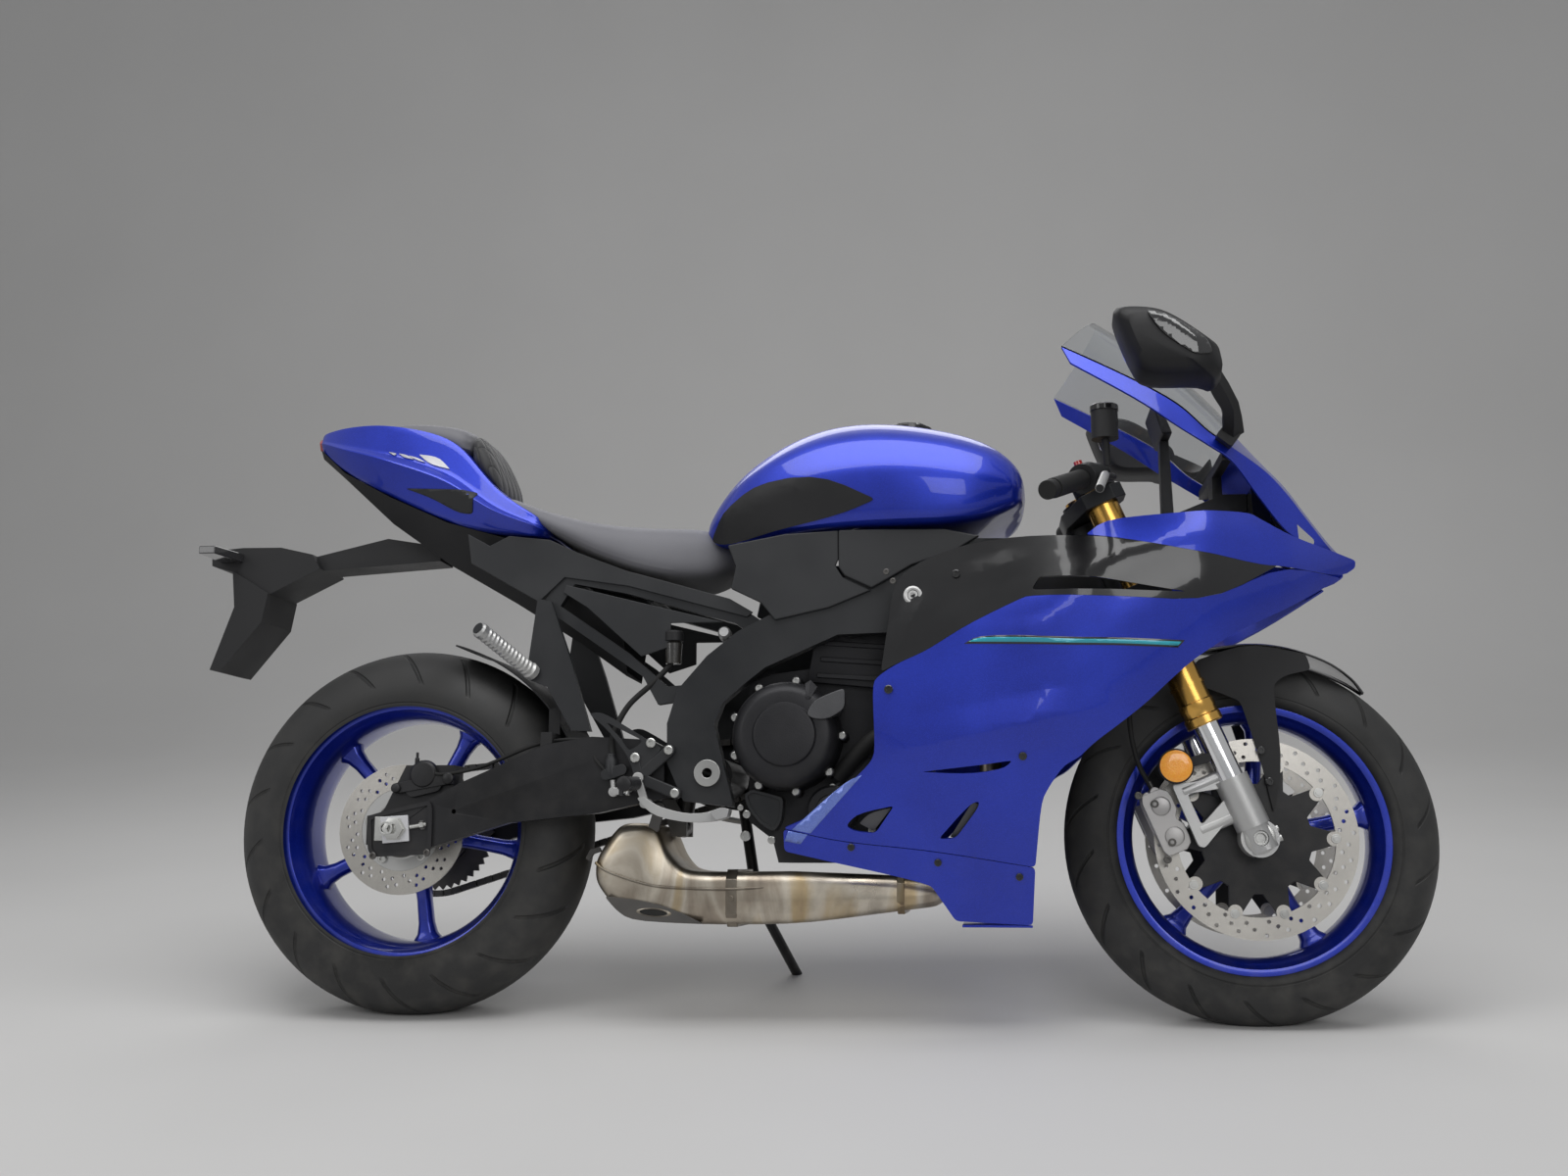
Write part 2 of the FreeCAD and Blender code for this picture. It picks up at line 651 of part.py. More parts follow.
def passenger_seat():
    sections = []
    for x, edge, top, half in ((-130, 1022, 1038, 52), (-8, 1010, 1040, 86), (80, 985, 1028, 92),
                               (128, 930, 1000, 88), (150, 906, 930, 80)):
        sections.append([(x, -half, edge), (x, half, edge), (x, half, (edge + top) / 2), (x, half * 0.8, top),
                         (x, -half * 0.8, top), (x, -half, (edge + top) / 2)])
    return [loft(sections)]


def tail_sections(inset):
    sections = []
    for x, low, high, foot, waist, crown in (
            (-214, 1010, 1037, 20, 26, 16), (-150, 958, 1039, 50, 76, 56), (-49, 902, 1032, 84, 118, 92),
            (63, 850, 1008, 98, 134, 100), (150, 826, 905, 108, 138, 112), (257, 812, 836, 128, 139, 136)):
        middle = low + (high - low) * 0.45
        top = high - inset
        sections.append([(x, -foot + inset, low), (x, foot - inset, low), (x, waist - inset, middle),
                         (x, crown - inset, top), (x, -crown + inset, top), (x, -waist + inset, middle)])
    return sections


def tail_cowl(passenger, rider):
    shell = loft(tail_sections(0)).cut(loft(tail_sections(panel_wall)))
    return [shell.cut(passenger).cut(rider)]


def tail_undertray(cowl, rails):
    sections = []
    for x, floor, side, half, flat in ((-205, 992, 1006, 30, 16), (-150, 946, 957, 50, 36), (-49, 857, 901, 84, 60),
                                       (63, 778, 849, 97, 60), (184, 708, 815, 97, 60), (300, 636, 722, 97, 60),
                                       (382, 578, 640, 97, 60)):
        wall = panel_wall
        sections.append([(x, -half, side), (x, -flat, floor), (x, flat, floor), (x, half, side),
                         (x, half - wall, side), (x, flat - wall * 0.5, floor + wall),
                         (x, -flat + wall * 0.5, floor + wall), (x, -half + wall, side)])
    return [loft(sections).cut(cowl).cut(rails)]


def subframe_covers(bracket):
    cover = prism([(287, 729), (579, 655), (579, 638), (496, 628), (420, 604), (325, 689), (282, 716)],
                  frame_inner_y, frame_inner_y + panel_wall)
    cover = cover.cut(prism([(470, 400), (470, 660), (700, 660), (700, 400)], 100, 130))
    return pair(cover.cut(bracket))


def seat_side_panels(bracket):
    panel_piece = prism([(110, 822), (150, 800), (184, 817), (257, 808), (303, 786), (390, 752), (493, 723), (570, 700),
                   (610, 676), (600, 668), (395, 725), (284, 742), (240, 700), (180, 735), (118, 770)],
                  frame_inner_y, frame_inner_y + panel_wall)
    return pair(panel_piece.cut(bracket))


def plate_holder(undertray):
    arm = prism([(-205, 805), (-68, 836), (-3, 825), (31, 800), (31, 793), (-185, 780)], -34, 34)
    body = prism([(-390, 804), (-383, 817), (-332, 821), (-260, 820), (-200, 806), (-185, 780), (-277, 735),
                  (-346, 776), (-389, 789)], -55, 55)
    plate = prism([(-346, 778), (-277, 736), (-286, 684), (-359, 595), (-378, 599), (-339, 712)], -62, 62)
    return [fused([arm, body, plate]).cut(undertray)]


def rear_indicators():
    lamp = loft([[(-372, 55.3, 794), (-330, 55.3, 794), (-330, 55.3, 810), (-372, 55.3, 810)],
                 [(-378, 130, 797), (-348, 130, 797), (-348, 130, 811), (-378, 130, 811)]])
    return pair(lamp)


def tail_lamp(undertray):
    lens = loft(tail_sections(panel_wall + running_gap)).common(block(-212, -188, -40, 40, 1000, 1028))
    return [lens.cut(undertray)]


def rear_hugger(swingarm_shape):
    arc = ring(rear_axle + Vector(0, -92, 0), Vector(0, 1, 0), rear_tyre_radius + 13, rear_tyre_radius + 10, 184)
    wedge = prism([(0, rear_axle_z), (500, 470), (500, 900), (120, 760)], -93, 93)
    shell = arc.common(wedge)
    tab = block(255, 275, 88, arm_outer_y, 470, 476)
    leg = block(255, 275, arm_inner_y, arm_outer_y, 450, 476)
    tie = block(255, 275, 86, 94, 470, 520)
    whole = fused([shell, tab, leg, tie, mirrored(tab), mirrored(leg), mirrored(tie)])
    return [whole.cut(swingarm_shape)]


# Fairing: one skin of sections, from which each painted panel is cut by its own outline

fairing_table = (
    (640, 255, 600, (140, 172, 190, 198, 196)), (820, 215, 740, (135, 185, 218, 226, 204)),
    (960, 160, 790, (112, 186, 228, 244, 206)), (1070, 150, 800, (104, 180, 226, 250, 204)),
    (1200, 440, 830, (196, 226, 244, 250, 200)), (1350, 570, 850, (180, 206, 222, 214, 178)),
    (1480, 640, 850, (112, 138, 150, 138, 110)), (1610, 735, 790, (30, 40, 46, 40, 30)))


def fairing_skin():
    rows = []
    for x, low, high, widths in fairing_table:
        last = len(widths) - 1
        rows.append([(x, -width, low + (high - low) * index / last) for index, width in enumerate(widths)])
    return slab(rows, Vector(0, panel_wall, 0))


def panel(skin, outline, vents=()):
    piece = skin.common(prism(outline, -300, 0))
    for vent in vents:
        piece = piece.cut(prism(vent, -300, 0))
    return piece


side_outline = [(1464, 731), (1348, 666), (1068, 677), (1050, 671), (964, 629), (902, 591), (856, 573), (824, 553),
                (816, 539), (819, 446), (815, 422), (783, 392), (721, 338), (667, 316.3), (751, 296.3),
                (905, 281.3), (1067, 255.3), (1077, 354), (1087, 375), (1112, 412), (1137, 424), (1159, 446),
                (1196, 473), (1241, 507), (1288, 551), (1326, 583), (1400, 629), (1487, 670), (1579, 726)]
front_vent = [(916, 299), (967, 354), (981, 357), (979, 346), (943, 300)]
rear_vent = [(769, 320), (787, 339), (847, 351), (816, 308), (782, 311)]
upper_slot = [(891, 403), (983, 413), (1034, 420), (1021, 407), (968, 399)]
black_outline = [(879, 733), (950, 763), (1053, 779), (1158.7, 776), (1297, 750.7), (1431, 728.7), (1462, 731.3),
                 (1348, 666.3), (1068, 677.3), (1050, 671.3), (964, 629.3), (902, 591.3), (856, 573.3), (830, 560),
                 (842, 635), (850, 700)]
air_gap = [(1069, 686), (1082, 708), (1143, 707), (1219, 694), (1309, 680)]
arm_outline = [(1160, 779), (1191, 802), (1346, 816), (1421, 819), (1436, 810), (1482, 785), (1560, 768), (1606, 757),
               (1606, 745), (1579, 727), (1464, 731.3), (1431, 729), (1297, 751), (1159, 776.3)]
belly_outline = [(667, 280), (748, 262), (864, 237), (903, 225), (940, 170), (1062, 164), (1067, 255), (905, 281),
                 (751, 296), (667, 316)]


def side_fairing(skin):
    return panel(skin, side_outline, (front_vent, rear_vent, upper_slot))


def black_panel(skin):
    return panel(skin, black_outline, (air_gap,))


def belly_pan(skin):
    side = panel(skin, belly_outline)
    floor = block(950, 1062, -108, 108, 160, 164)
    return [side, mirrored(side), floor]


band_edge = [(1131, 150, 1111), (1237, 152, 1054), (1314, 151, 1006), (1364, 148, 958), (1400, 145, 932),
             (1451, 130, 896), (1487, 110, 863), (1523, 90, 820), (1562, 70, 773), (1600, 20, 752)]
band_foot = [(1145, 160, 1079), (1251, 162, 1012), (1314, 160, 966), (1363, 157, 933), (1400, 153, 905),
             (1441, 136, 850), (1482, 116, 800), (1512, 98, 782), (1546, 76, 769), (1598, 22, 748)]
nose_line = [(1432, 0, 980), (1474, 0, 928), (1508, 0, 889), (1541, 0, 839), (1577, 0, 787), (1604, 0, 754)]


def upper_cowl(skin):
    arm = panel(skin, arm_outline)
    band = slab([[edge, foot] for edge, foot in zip(band_edge, band_foot)], Vector(0, -panel_wall, 0))
    rows = []
    for (x, y, z), (cx, cy, cz) in zip(band_edge[4:], nose_line):
        middle = ((x + cx) / 2, y / 2, (z + cz) / 2 + 6)
        rows.append([(x, y, z), middle, (cx, 0, cz), (middle[0], -middle[1], middle[2]), (x, -y, z)])
    nose = slab(rows, Vector(0, 0, -panel_wall))
    tip = prism([(1556, 746), (1603, 749), (1603, 754), (1556, 782)], -42, 42)
    return [fused([arm, mirrored(arm), band, mirrored(band), nose, tip])]


screen_line = [(1200, 1192), (1280, 1136), (1338, 1088), (1388, 1036), (1432, 981.5)]


def windscreen():
    rows = []
    for (x, y, z), (cx, cz) in zip(band_edge, screen_line):
        lift = 1.0
        middle = (x + (cx - x) * 0.7, y * 0.55, z + (cz - z) * 0.72)
        rows.append([(x, y, z + lift), middle, (cx, 0, cz), (middle[0], -middle[1], middle[2]), (x, -y, z + lift)])
    return [slab(rows, Vector(1.5, 0, 3))]


def fairing_stay(frame, cowl):
    beam = prism([(1200, 760), (1200, 800), (1400, 880), (1440, 880), (1440, 850), (1400, 840)], -26, 26)
    bar = block(1384, 1400, -145, 145, 910, 926)
    riser = block(1384, 1400, -26, 26, 850, 926)
    post = prism([(1300, 835), (1320, 845), (1316, 980), (1300, 980)], -14, 14)
    whole = fused([beam, bar, riser, post])
    return [whole.cut(frame).cut(cowl).cut(rod(stem_point(400), stem_point(640), head_tube_radius - 1))]


def headlamp():
    body = loft([[(1440.3, -80, 800), (1440.3, 80, 800), (1440.3, 70, 880), (1440.3, -70, 880)],
                 [(1530, -50, 772), (1530, 50, 772), (1530, 34, 800), (1530, -34, 800)]])
    return [body]


def instrument_panel():
    return [prism([(1300, 980.3), (1284, 1036), (1296, 1040), (1318, 980.3)], -62, 62)]


def mirrors(cowl, screen):
    base = prism([(1409, 990), (1415, 950), (1396, 925), (1372, 945)], 148, 172)
    stalk = rod(Vector(1398, 168, 965), Vector(1335, 275, 1010), 9)
    head = loft([[(1203, 262, 1080), (1222, 262, 1020), (1330, 262, 993), (1362, 262, 1035), (1291, 262, 1090)],
                 [(1215, 325, 1108), (1235, 325, 1030), (1330, 325, 1000), (1350, 325, 1040), (1291, 325, 1102)],
                 [(1240, 378, 1080), (1250, 378, 1045), (1300, 378, 1020), (1320, 378, 1045), (1280, 378, 1085)]])
    return pair(fused([base, stalk, head]).cut(cowl).cut(screen))


# Foot controls and side stand

def rider_pegs():
    plate = prism([(342, 504), (370, 504), (455, 452), (480, 440), (505, 400), (500, 370), (430, 360), (400, 372),
                   (418, 420), (376, 476)], frame_outer_y + running_gap, frame_outer_y + 8)
    peg = rod(Vector(426, frame_outer_y, 380), Vector(420, 248, 384), 11)
    return pair(fused([plate, peg]))


def foot_pedals():
    brake = pipe([(490, -164, 385), (500, -190, 350), (560, -196, 338), (600, -200, 346)], 12, 6)
    hub = cross_rod(490, 385, -170, -frame_outer_y - 8.3, 12)
    gear = pipe([(490, 164, 385), (500, 190, 350), (560, 196, 338), (600, 200, 346)], 12, 6)
    left_hub = cross_rod(490, 385, frame_outer_y + 8.3, 170, 12)
    return [fused([brake, hub]), fused([gear, left_hub])]


def passenger_pegs():
    bracket = prism([(240, 705), (264, 699), (300, 600), (338, 478), (305, 479), (261, 553), (218, 570), (226, 590)],
                    frame_inner_y, frame_inner_y + 12)
    peg = rod(Vector(235, 130, 578), Vector(170, 235, 640), 10)
    return pair(fused([bracket, peg]))


def stand_bracket(frame):
    outer = rod(stand_pivot + stand_hinge * (stand_eye_half + running_gap), stand_pivot + stand_hinge * 22, 12)
    pin = rod(stand_pivot - stand_hinge * (stand_eye_half + 5), stand_pivot + stand_hinge * 20, 7.7)
    head = rod(stand_pivot - stand_hinge * (stand_eye_half + 5),
               stand_pivot - stand_hinge * (stand_eye_half + running_gap), 11)
    arm = rod(stand_pivot + stand_hinge * 22, Vector(556, 134, 372), 10)
    return [fused([outer, pin, head, arm]).cut(frame)]


def side_stand():
    direction = (stand_foot - stand_pivot).normalize()
    leg = rod(stand_pivot - direction * 8, stand_foot, stand_radius)
    eye = rod(stand_pivot - stand_hinge * stand_eye_half, stand_pivot + stand_hinge * stand_eye_half, 16)
    foot = Part.makeBox(56, 34, 6, Vector(-28, -17, 0))
    foot.rotate(Vector(0, 0, 0), Vector(1, 0, 0), lean_angle)
    foot.translate(Vector(stand_foot.x, stand_foot.y, stand_foot.y * math.tan(lean)))
    bore = rod(stand_pivot - stand_hinge * 30, stand_pivot + stand_hinge * 30, 8)
    return [fused([leg, eye, foot]).cut(bore)]


# Assembly

def parked(shapes):
    whole = Part.makeCompound(shapes) if len(shapes) > 1 else shapes[0]
    whole = whole.copy()
    whole.rotate(Vector(0, 0, 0), Vector(1, 0, 0), -lean_angle)
    whole.translate(Vector(-parked_origin_x, -parked_origin_y, 0))
    return whole


def build():
    skin = fairing_skin()
    frame = main_frame()
    engine = engine_block()
    arm = swingarm()
    tank = fuel_tank()
    rider = rider_seat(tank[0])
    passenger = passenger_seat()
    rails = subframe(frame[0])
    tail = tail_cowl(passenger[0], rider[0])
    undertray = tail_undertray(tail[0], rails[0])
    pillion = passenger_pegs()
    side = side_fairing(skin)
    cowl = upper_cowl(skin)
    screen = windscreen()
    nodes = {
        "front_tyre": front_tyre(),
        "front_rim": front_rim(),
        "front_discs": front_discs(),
        "rear_tyre": rear_tyre(),
        "rear_rim": rear_rim(),
        "rear_disc": rear_disc(),
        "rear_sprocket": rear_sprocket(),
        "chain": chain(),
        "triple_clamps": triple_clamps(),
        "fork_tubes": fork_tubes(),
        "fork_stanchions": fork_stanchions(),
        "fork_bottoms": fork_bottoms(),
        "front_axle": front_axle_shaft(),
        "front_calipers": front_calipers(),
        "front_fender": front_fender(),
        "clip_on_bars": clip_on_bars(),
        "grips": grips(),
        "hand_controls": hand_controls(),
        "reflectors": reflectors(),
        "main_frame": frame,
        "pivot_shaft": pivot_shaft(),
        "subframe": rails,
        "engine_block": engine,
        "engine_covers": engine_covers(),
        "radiator": radiator(frame[0]),
        "exhaust_system": exhaust_system(engine[0]),
        "swingarm": arm,
        "rear_axle": rear_axle_shaft(),
        "rear_caliper": rear_caliper(),
        "shock_absorber": shock_absorber(),
        "fuel_tank": tank,
        "tank_side_covers": tank_side_covers(),
        "air_duct_covers": air_duct_covers(),
        "rider_seat": rider,
        "passenger_seat": passenger,
        "tail_cowl": tail,
        "tail_undertray": undertray,
        "subframe_covers": subframe_covers(pillion[0]),
        "seat_side_panels": seat_side_panels(pillion[0]),
        "plate_holder": plate_holder(undertray[0]),
        "rear_indicators": rear_indicators(),
        "tail_lamp": tail_lamp(undertray[0]),
        "rear_hugger": rear_hugger(arm[0]),
        "side_fairing_right": [side],
        "side_fairing_left": [mirrored(side)],
        "black_panels": pair(black_panel(skin).cut(cowl[0])),
        "belly_pan": belly_pan(skin),
        "upper_cowl": cowl,
        "windscreen": screen,
        "fairing_stay": fairing_stay(frame[0], cowl[0]),
        "headlamp": headlamp(),
        "instrument_panel": instrument_panel(),
        "mirrors": mirrors(cowl[0], screen[0]),
        "rider_pegs": rider_pegs(),
        "foot_pedals": foot_pedals(),
        "passenger_pegs": pillion,
        "stand_bracket": stand_bracket(frame[0]),
        "side_stand": side_stand(),
    }
    return {name: parked(shapes) for name, shapes in nodes.items()}


os.makedirs("parts", exist_ok=True)
for name, shape in build().items():
    shape.exportStep("parts/%s.step" % name)
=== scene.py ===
import math
import bmesh
import bpy
from mathutils import Matrix, Vector
from mathutils.bvhtree import BVHTree


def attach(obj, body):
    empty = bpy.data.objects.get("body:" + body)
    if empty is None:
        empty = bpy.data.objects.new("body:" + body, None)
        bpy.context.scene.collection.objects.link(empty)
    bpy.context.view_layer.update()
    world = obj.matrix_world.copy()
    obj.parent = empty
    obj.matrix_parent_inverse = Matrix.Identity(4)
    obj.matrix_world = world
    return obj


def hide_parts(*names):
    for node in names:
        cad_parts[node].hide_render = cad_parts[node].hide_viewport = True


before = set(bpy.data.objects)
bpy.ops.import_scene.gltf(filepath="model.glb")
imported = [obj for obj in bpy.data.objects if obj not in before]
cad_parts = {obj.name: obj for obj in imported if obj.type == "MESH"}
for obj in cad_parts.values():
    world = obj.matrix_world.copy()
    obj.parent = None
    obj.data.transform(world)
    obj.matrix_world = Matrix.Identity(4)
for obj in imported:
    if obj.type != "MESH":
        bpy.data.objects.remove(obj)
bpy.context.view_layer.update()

# All sizes are millimetres on the upright bike: x forward from the rear axle, y left, z up from the road.
# park leans that bike onto its side stand and turns millimetres into the frame's metres.
stand = {"lean": 11.0, "originX": 664.4, "originY": 186.6}
leanTurn = Matrix.Rotation(math.radians(-stand["lean"]), 4, "X")
toOrigin = Matrix.Translation((-stand["originX"] / 1000, -stand["originY"] / 1000, 0))
park = toOrigin @ leanTurn @ Matrix.Scale(0.001, 4)

wheels = {
    "base": 1420.0, "bead": 212.0, "spokes": 5,
    "front": {"radius": 300.0, "crown": 60.0, "half": 50.0, "hub": 30.0, "right": 60.0, "left": 60.0,
              "turn": 24.0},
    "rear": {"radius": 315.0, "crown": 90.0, "half": 76.0, "hub": 34.0, "right": 76.0, "left": 90.0,
             "turn": 46.5},
}
fork = {"rake": 22.58, "offset": 28.4, "leg": 105.0}


def axleOf(end):
    # leaned over, a round tread keeps its lowest point on the road only if the axle rises a little
    wheel = wheels[end]
    drop = wheel["crown"] / math.cos(math.radians(stand["lean"])) - wheel["crown"]
    return Vector((wheels["base"] if end == "front" else 0.0, 0.0, wheel["radius"] + drop))


rake = math.radians(fork["rake"])
steerUp = Vector((-math.sin(rake), 0, math.cos(rake)))
steerAhead = Vector((math.cos(rake), 0, math.sin(rake)))
rightWay = Vector((0, -1, 0))


def legPoint(rise, side, ahead=fork["offset"]):
    # a place by the fork: rise along the leg from the axle, sideways, and ahead of the steering axis
    return axleOf("front") + steerUp * rise + steerAhead * (ahead - fork["offset"]) + Vector((0, side, 0))


# Shader helpers and node groups

def feed(tree, inputs, values):
    # sockets are linked, plain values are set
    for label, value in values.items():
        if isinstance(value, bpy.types.NodeSocket):
            tree.links.new(value, inputs[label])
        else:
            inputs[label].default_value = value


def addNode(tree, kind, values=None, **settings):
    node = tree.nodes.new("ShaderNode" + kind)
    for label, value in settings.items():
        setattr(node, label, value)
    feed(tree, node.inputs, values or {})
    return node


def mathNode(tree, operation, first, second=0.5):
    return addNode(tree, "Math", {0: first, 1: second}, operation=operation).outputs[0]


def rangeNode(tree, value, low, high, start=0.0, end=1.0):
    # low to high becomes start to end
    return addNode(tree, "MapRange", {"Value": value, "From Min": low, "From Max": high, "To Min": start,
                                      "To Max": end}).outputs[0]


def noiseNode(tree, place, scale, detail):
    return addNode(tree, "TexNoise", {"Vector": place, "Scale": scale, "Detail": detail}).outputs[0]


def bumpNode(tree, height, strength, distance=0.0006, **more):
    return addNode(tree, "Bump",
                   {"Height": height, "Strength": strength, "Distance": distance, **more}).outputs[0]


def mixColor(tree, factor, *colors):
    # each colour is a socket, or red, green and blue
    first, second = [(*color, 1) if isinstance(color, tuple) else color for color in colors]
    return addNode(tree, "Mix", {0: factor, 6: first, 7: second}, data_type="RGBA").outputs[2]


def newGroup(name, inputs, outputs):
    group = bpy.data.node_groups.new(name, "ShaderNodeTree")
    for label, start in inputs.items():
        kind = "NodeSocketVector" if start is None else "NodeSocketFloat"
        socket = group.interface.new_socket(label, in_out="INPUT", socket_type=kind)
        if start is not None:
            socket.default_value = start
    for label in outputs:
        group.interface.new_socket(label, in_out="OUTPUT", socket_type="NodeSocketFloat")
    return group, group.nodes.new("NodeGroupInput").outputs, group.nodes.new("NodeGroupOutput").inputs


def grainGroup():
    # fine grain for bumps, and a slow tone for uneven colour and gloss
    group, given, result = newGroup("surfaceGrain", {"Vector": None, "Scale": 900.0}, ("Height", "Tone"))
    slow = noiseNode(group, given["Vector"], 7.0, 4.0)
    feed(group, result, {"Height": noiseNode(group, given["Vector"], given["Scale"], 3.0),
                         "Tone": rangeNode(group, slow, 0.35, 0.65)})
    return group


def flakeGroup():
    # bright metal flakes under lacquer
    group, given, result = newGroup("lacquerFlake", {"Vector": None, "Scale": 1600.0}, ("Flake",))
    cells = addNode(group, "TexVoronoi", {"Vector": given["Vector"], "Scale": given["Scale"]})
    tone = addNode(group, "SeparateColor", {"Color": cells.outputs["Color"]}).outputs[0]
    feed(group, result, {"Flake": mathNode(group, "POWER", tone, 2.5)})
    return group


def dustGroup():
    # road dust that thins out with height above the floor
    group, given, result = newGroup("roadDust", {"Vector": None, "Top": 0.3}, ("Mask",))
    height = addNode(group, "SeparateXYZ", {"Vector": given["Vector"]}).outputs[2]
    fade = rangeNode(group, mathNode(group, "DIVIDE", height, given["Top"]), 0.0, 1.0, 1.0, 0.0)
    patch = rangeNode(group, noiseNode(group, given["Vector"], 28.0, 6.0), 0.42, 0.72)
    feed(group, result, {"Mask": mathNode(group, "MULTIPLY", fade, patch)})
    return group


groups = {"grain": grainGroup(), "flake": flakeGroup(), "dust": dustGroup()}


def useGroup(tree, name, place, **values):
    return addNode(tree, "Group", {"Vector": place, **values}, node_tree=groups[name]).outputs


def startMaterial(name):
    material = bpy.data.materials.new(name)
    material.use_nodes = True
    tree = material.node_tree
    tree.nodes.clear()
    shader = addNode(tree, "BsdfPrincipled")
    end = addNode(tree, "OutputMaterial")
    tree.links.new(shader.outputs[0], end.inputs[0])
    place = addNode(tree, "TexCoord").outputs["Object"]
    return material, tree, shader, place


def addDust(tree, place, color, top, share, dustColor):
    mask = mathNode(tree, "MULTIPLY", useGroup(tree, "dust", place, Top=top)["Mask"], share)
    return mixColor(tree, mask, color, dustColor)


# colour, second colour, metal, roughness, lacquer, shine, grain scale, grain depth, flake, dust
finishTable = {
    "bluePaint": ((0.004, 0.02, 0.34), (0.006, 0.028, 0.42), 0.5, 0.36, 0.6, 0.5, 60, 0.02, 0.3, 0.05),
    "blueRim": ((0.004, 0.018, 0.26), (0.007, 0.026, 0.36), 0.7, 0.34, 0.8, 0.5, 80, 0.05, 0.4, 0.2),
    "blackGloss": ((0.004, 0.004, 0.005), (0.007, 0.007, 0.008), 0, 0.2, 0.7, 0.35, 60, 0.02, 0, 0.05),
    "blackPlastic": ((0.01, 0.01, 0.011), (0.017, 0.017, 0.018), 0, 0.55, 0, 0.3, 1400, 0.35, 0, 0.12),
    "panelGrey": ((0.017, 0.018, 0.02), (0.025, 0.026, 0.028), 0, 0.48, 0, 0.35, 1600, 0.3, 0, 0.06),
    "framePaint": ((0.017, 0.018, 0.02), (0.026, 0.027, 0.029), 0.3, 0.42, 0, 0.4, 700, 0.25, 0, 0.1),
    "armPaint": ((0.012, 0.012, 0.013), (0.02, 0.02, 0.022), 0.3, 0.4, 0, 0.4, 600, 0.25, 0, 0.15),
    "engineCast": ((0.014, 0.014, 0.016), (0.024, 0.024, 0.027), 0.4, 0.46, 0, 0.4, 500, 0.5, 0, 0.12),
    "castGrey": ((0.075, 0.076, 0.08), (0.11, 0.11, 0.115), 0.6, 0.42, 0, 0.5, 600, 0.4, 0, 0.2),
    "goldTube": ((0.62, 0.35, 0.075), (0.72, 0.43, 0.12), 1, 0.24, 0, 0.5, 300, 0.08, 0, 0),
    "chrome": ((0.72, 0.73, 0.75), (0.82, 0.82, 0.83), 1, 0.1, 0, 0.5, 200, 0.04, 0, 0),
    "castSilver": ((0.42, 0.42, 0.42), (0.52, 0.52, 0.51), 0.75, 0.42, 0, 0.5, 700, 0.35, 0, 0.2),
    "caliperGrey": ((0.36, 0.35, 0.35), (0.44, 0.43, 0.42), 0.6, 0.4, 0, 0.5, 900, 0.2, 0, 0.2),
    "steel": ((0.42, 0.42, 0.41), (0.56, 0.56, 0.54), 1, 0.32, 0, 0.5, 500, 0.2, 0, 0.2),
    "darkSteel": ((0.07, 0.068, 0.066), (0.12, 0.115, 0.11), 0.9, 0.42, 0, 0.5, 400, 0.3, 0, 0.3),
    "rubber": ((0.008, 0.008, 0.008), (0.014, 0.014, 0.014), 0, 0.7, 0, 0.3, 900, 0.4, 0, 0.1),
    "turquoise": ((0, 0.32, 0.42), (0, 0.36, 0.46), 0, 0.3, 1, 0.5, 90, 0.02, 0, 0),
    "paleBlue": ((0.1, 0.16, 0.55), (0.13, 0.19, 0.6), 0.4, 0.3, 1, 0.5, 90, 0.02, 0.4, 0),
    "lensDark": ((0.012, 0.012, 0.013), (0.03, 0.03, 0.032), 0, 0.12, 1, 0.5, 80, 0.02, 0, 0),
    "lensRed": ((0.3, 0.008, 0.006), (0.42, 0.012, 0.008), 0, 0.15, 1, 0.5, 200, 0.15, 0, 0),
    "fluidTank": ((0.02, 0.019, 0.018), (0.05, 0.045, 0.035), 0, 0.22, 0.6, 0.5, 300, 0.05, 0, 0),
    "silverTape": ((0.5, 0.5, 0.52), (0.62, 0.62, 0.64), 0.5, 0.3, 0, 0.5, 300, 0.05, 0, 0),
}


def makeFinish(name, color, second, metal, rough, coat, shine, scale, depth, flake, dust):
    material, tree, shader, place = startMaterial(name)
    grain = useGroup(tree, "grain", place, Scale=float(scale))
    base = mixColor(tree, grain["Tone"], color, second)
    if flake:
        bright = tuple(min(1.0, part * 2.6 + 0.02) for part in color)
        share = mathNode(tree, "MULTIPLY", useGroup(tree, "flake", place)["Flake"], flake)
        base = mixColor(tree, share, base, bright)
    if dust:
        base = addDust(tree, place, base, 0.55, dust, (0.16, 0.145, 0.125))
    feed(tree, shader.inputs, {
        "Base Color": base, "Metallic": metal, "Coat Weight": coat, "Coat Roughness": 0.04,
        "Specular IOR Level": shine, "Normal": bumpNode(tree, grain["Height"], depth),
        "Roughness": rangeNode(tree, grain["Tone"], 0, 1, rough * 0.86, rough * 1.14)})
    return material


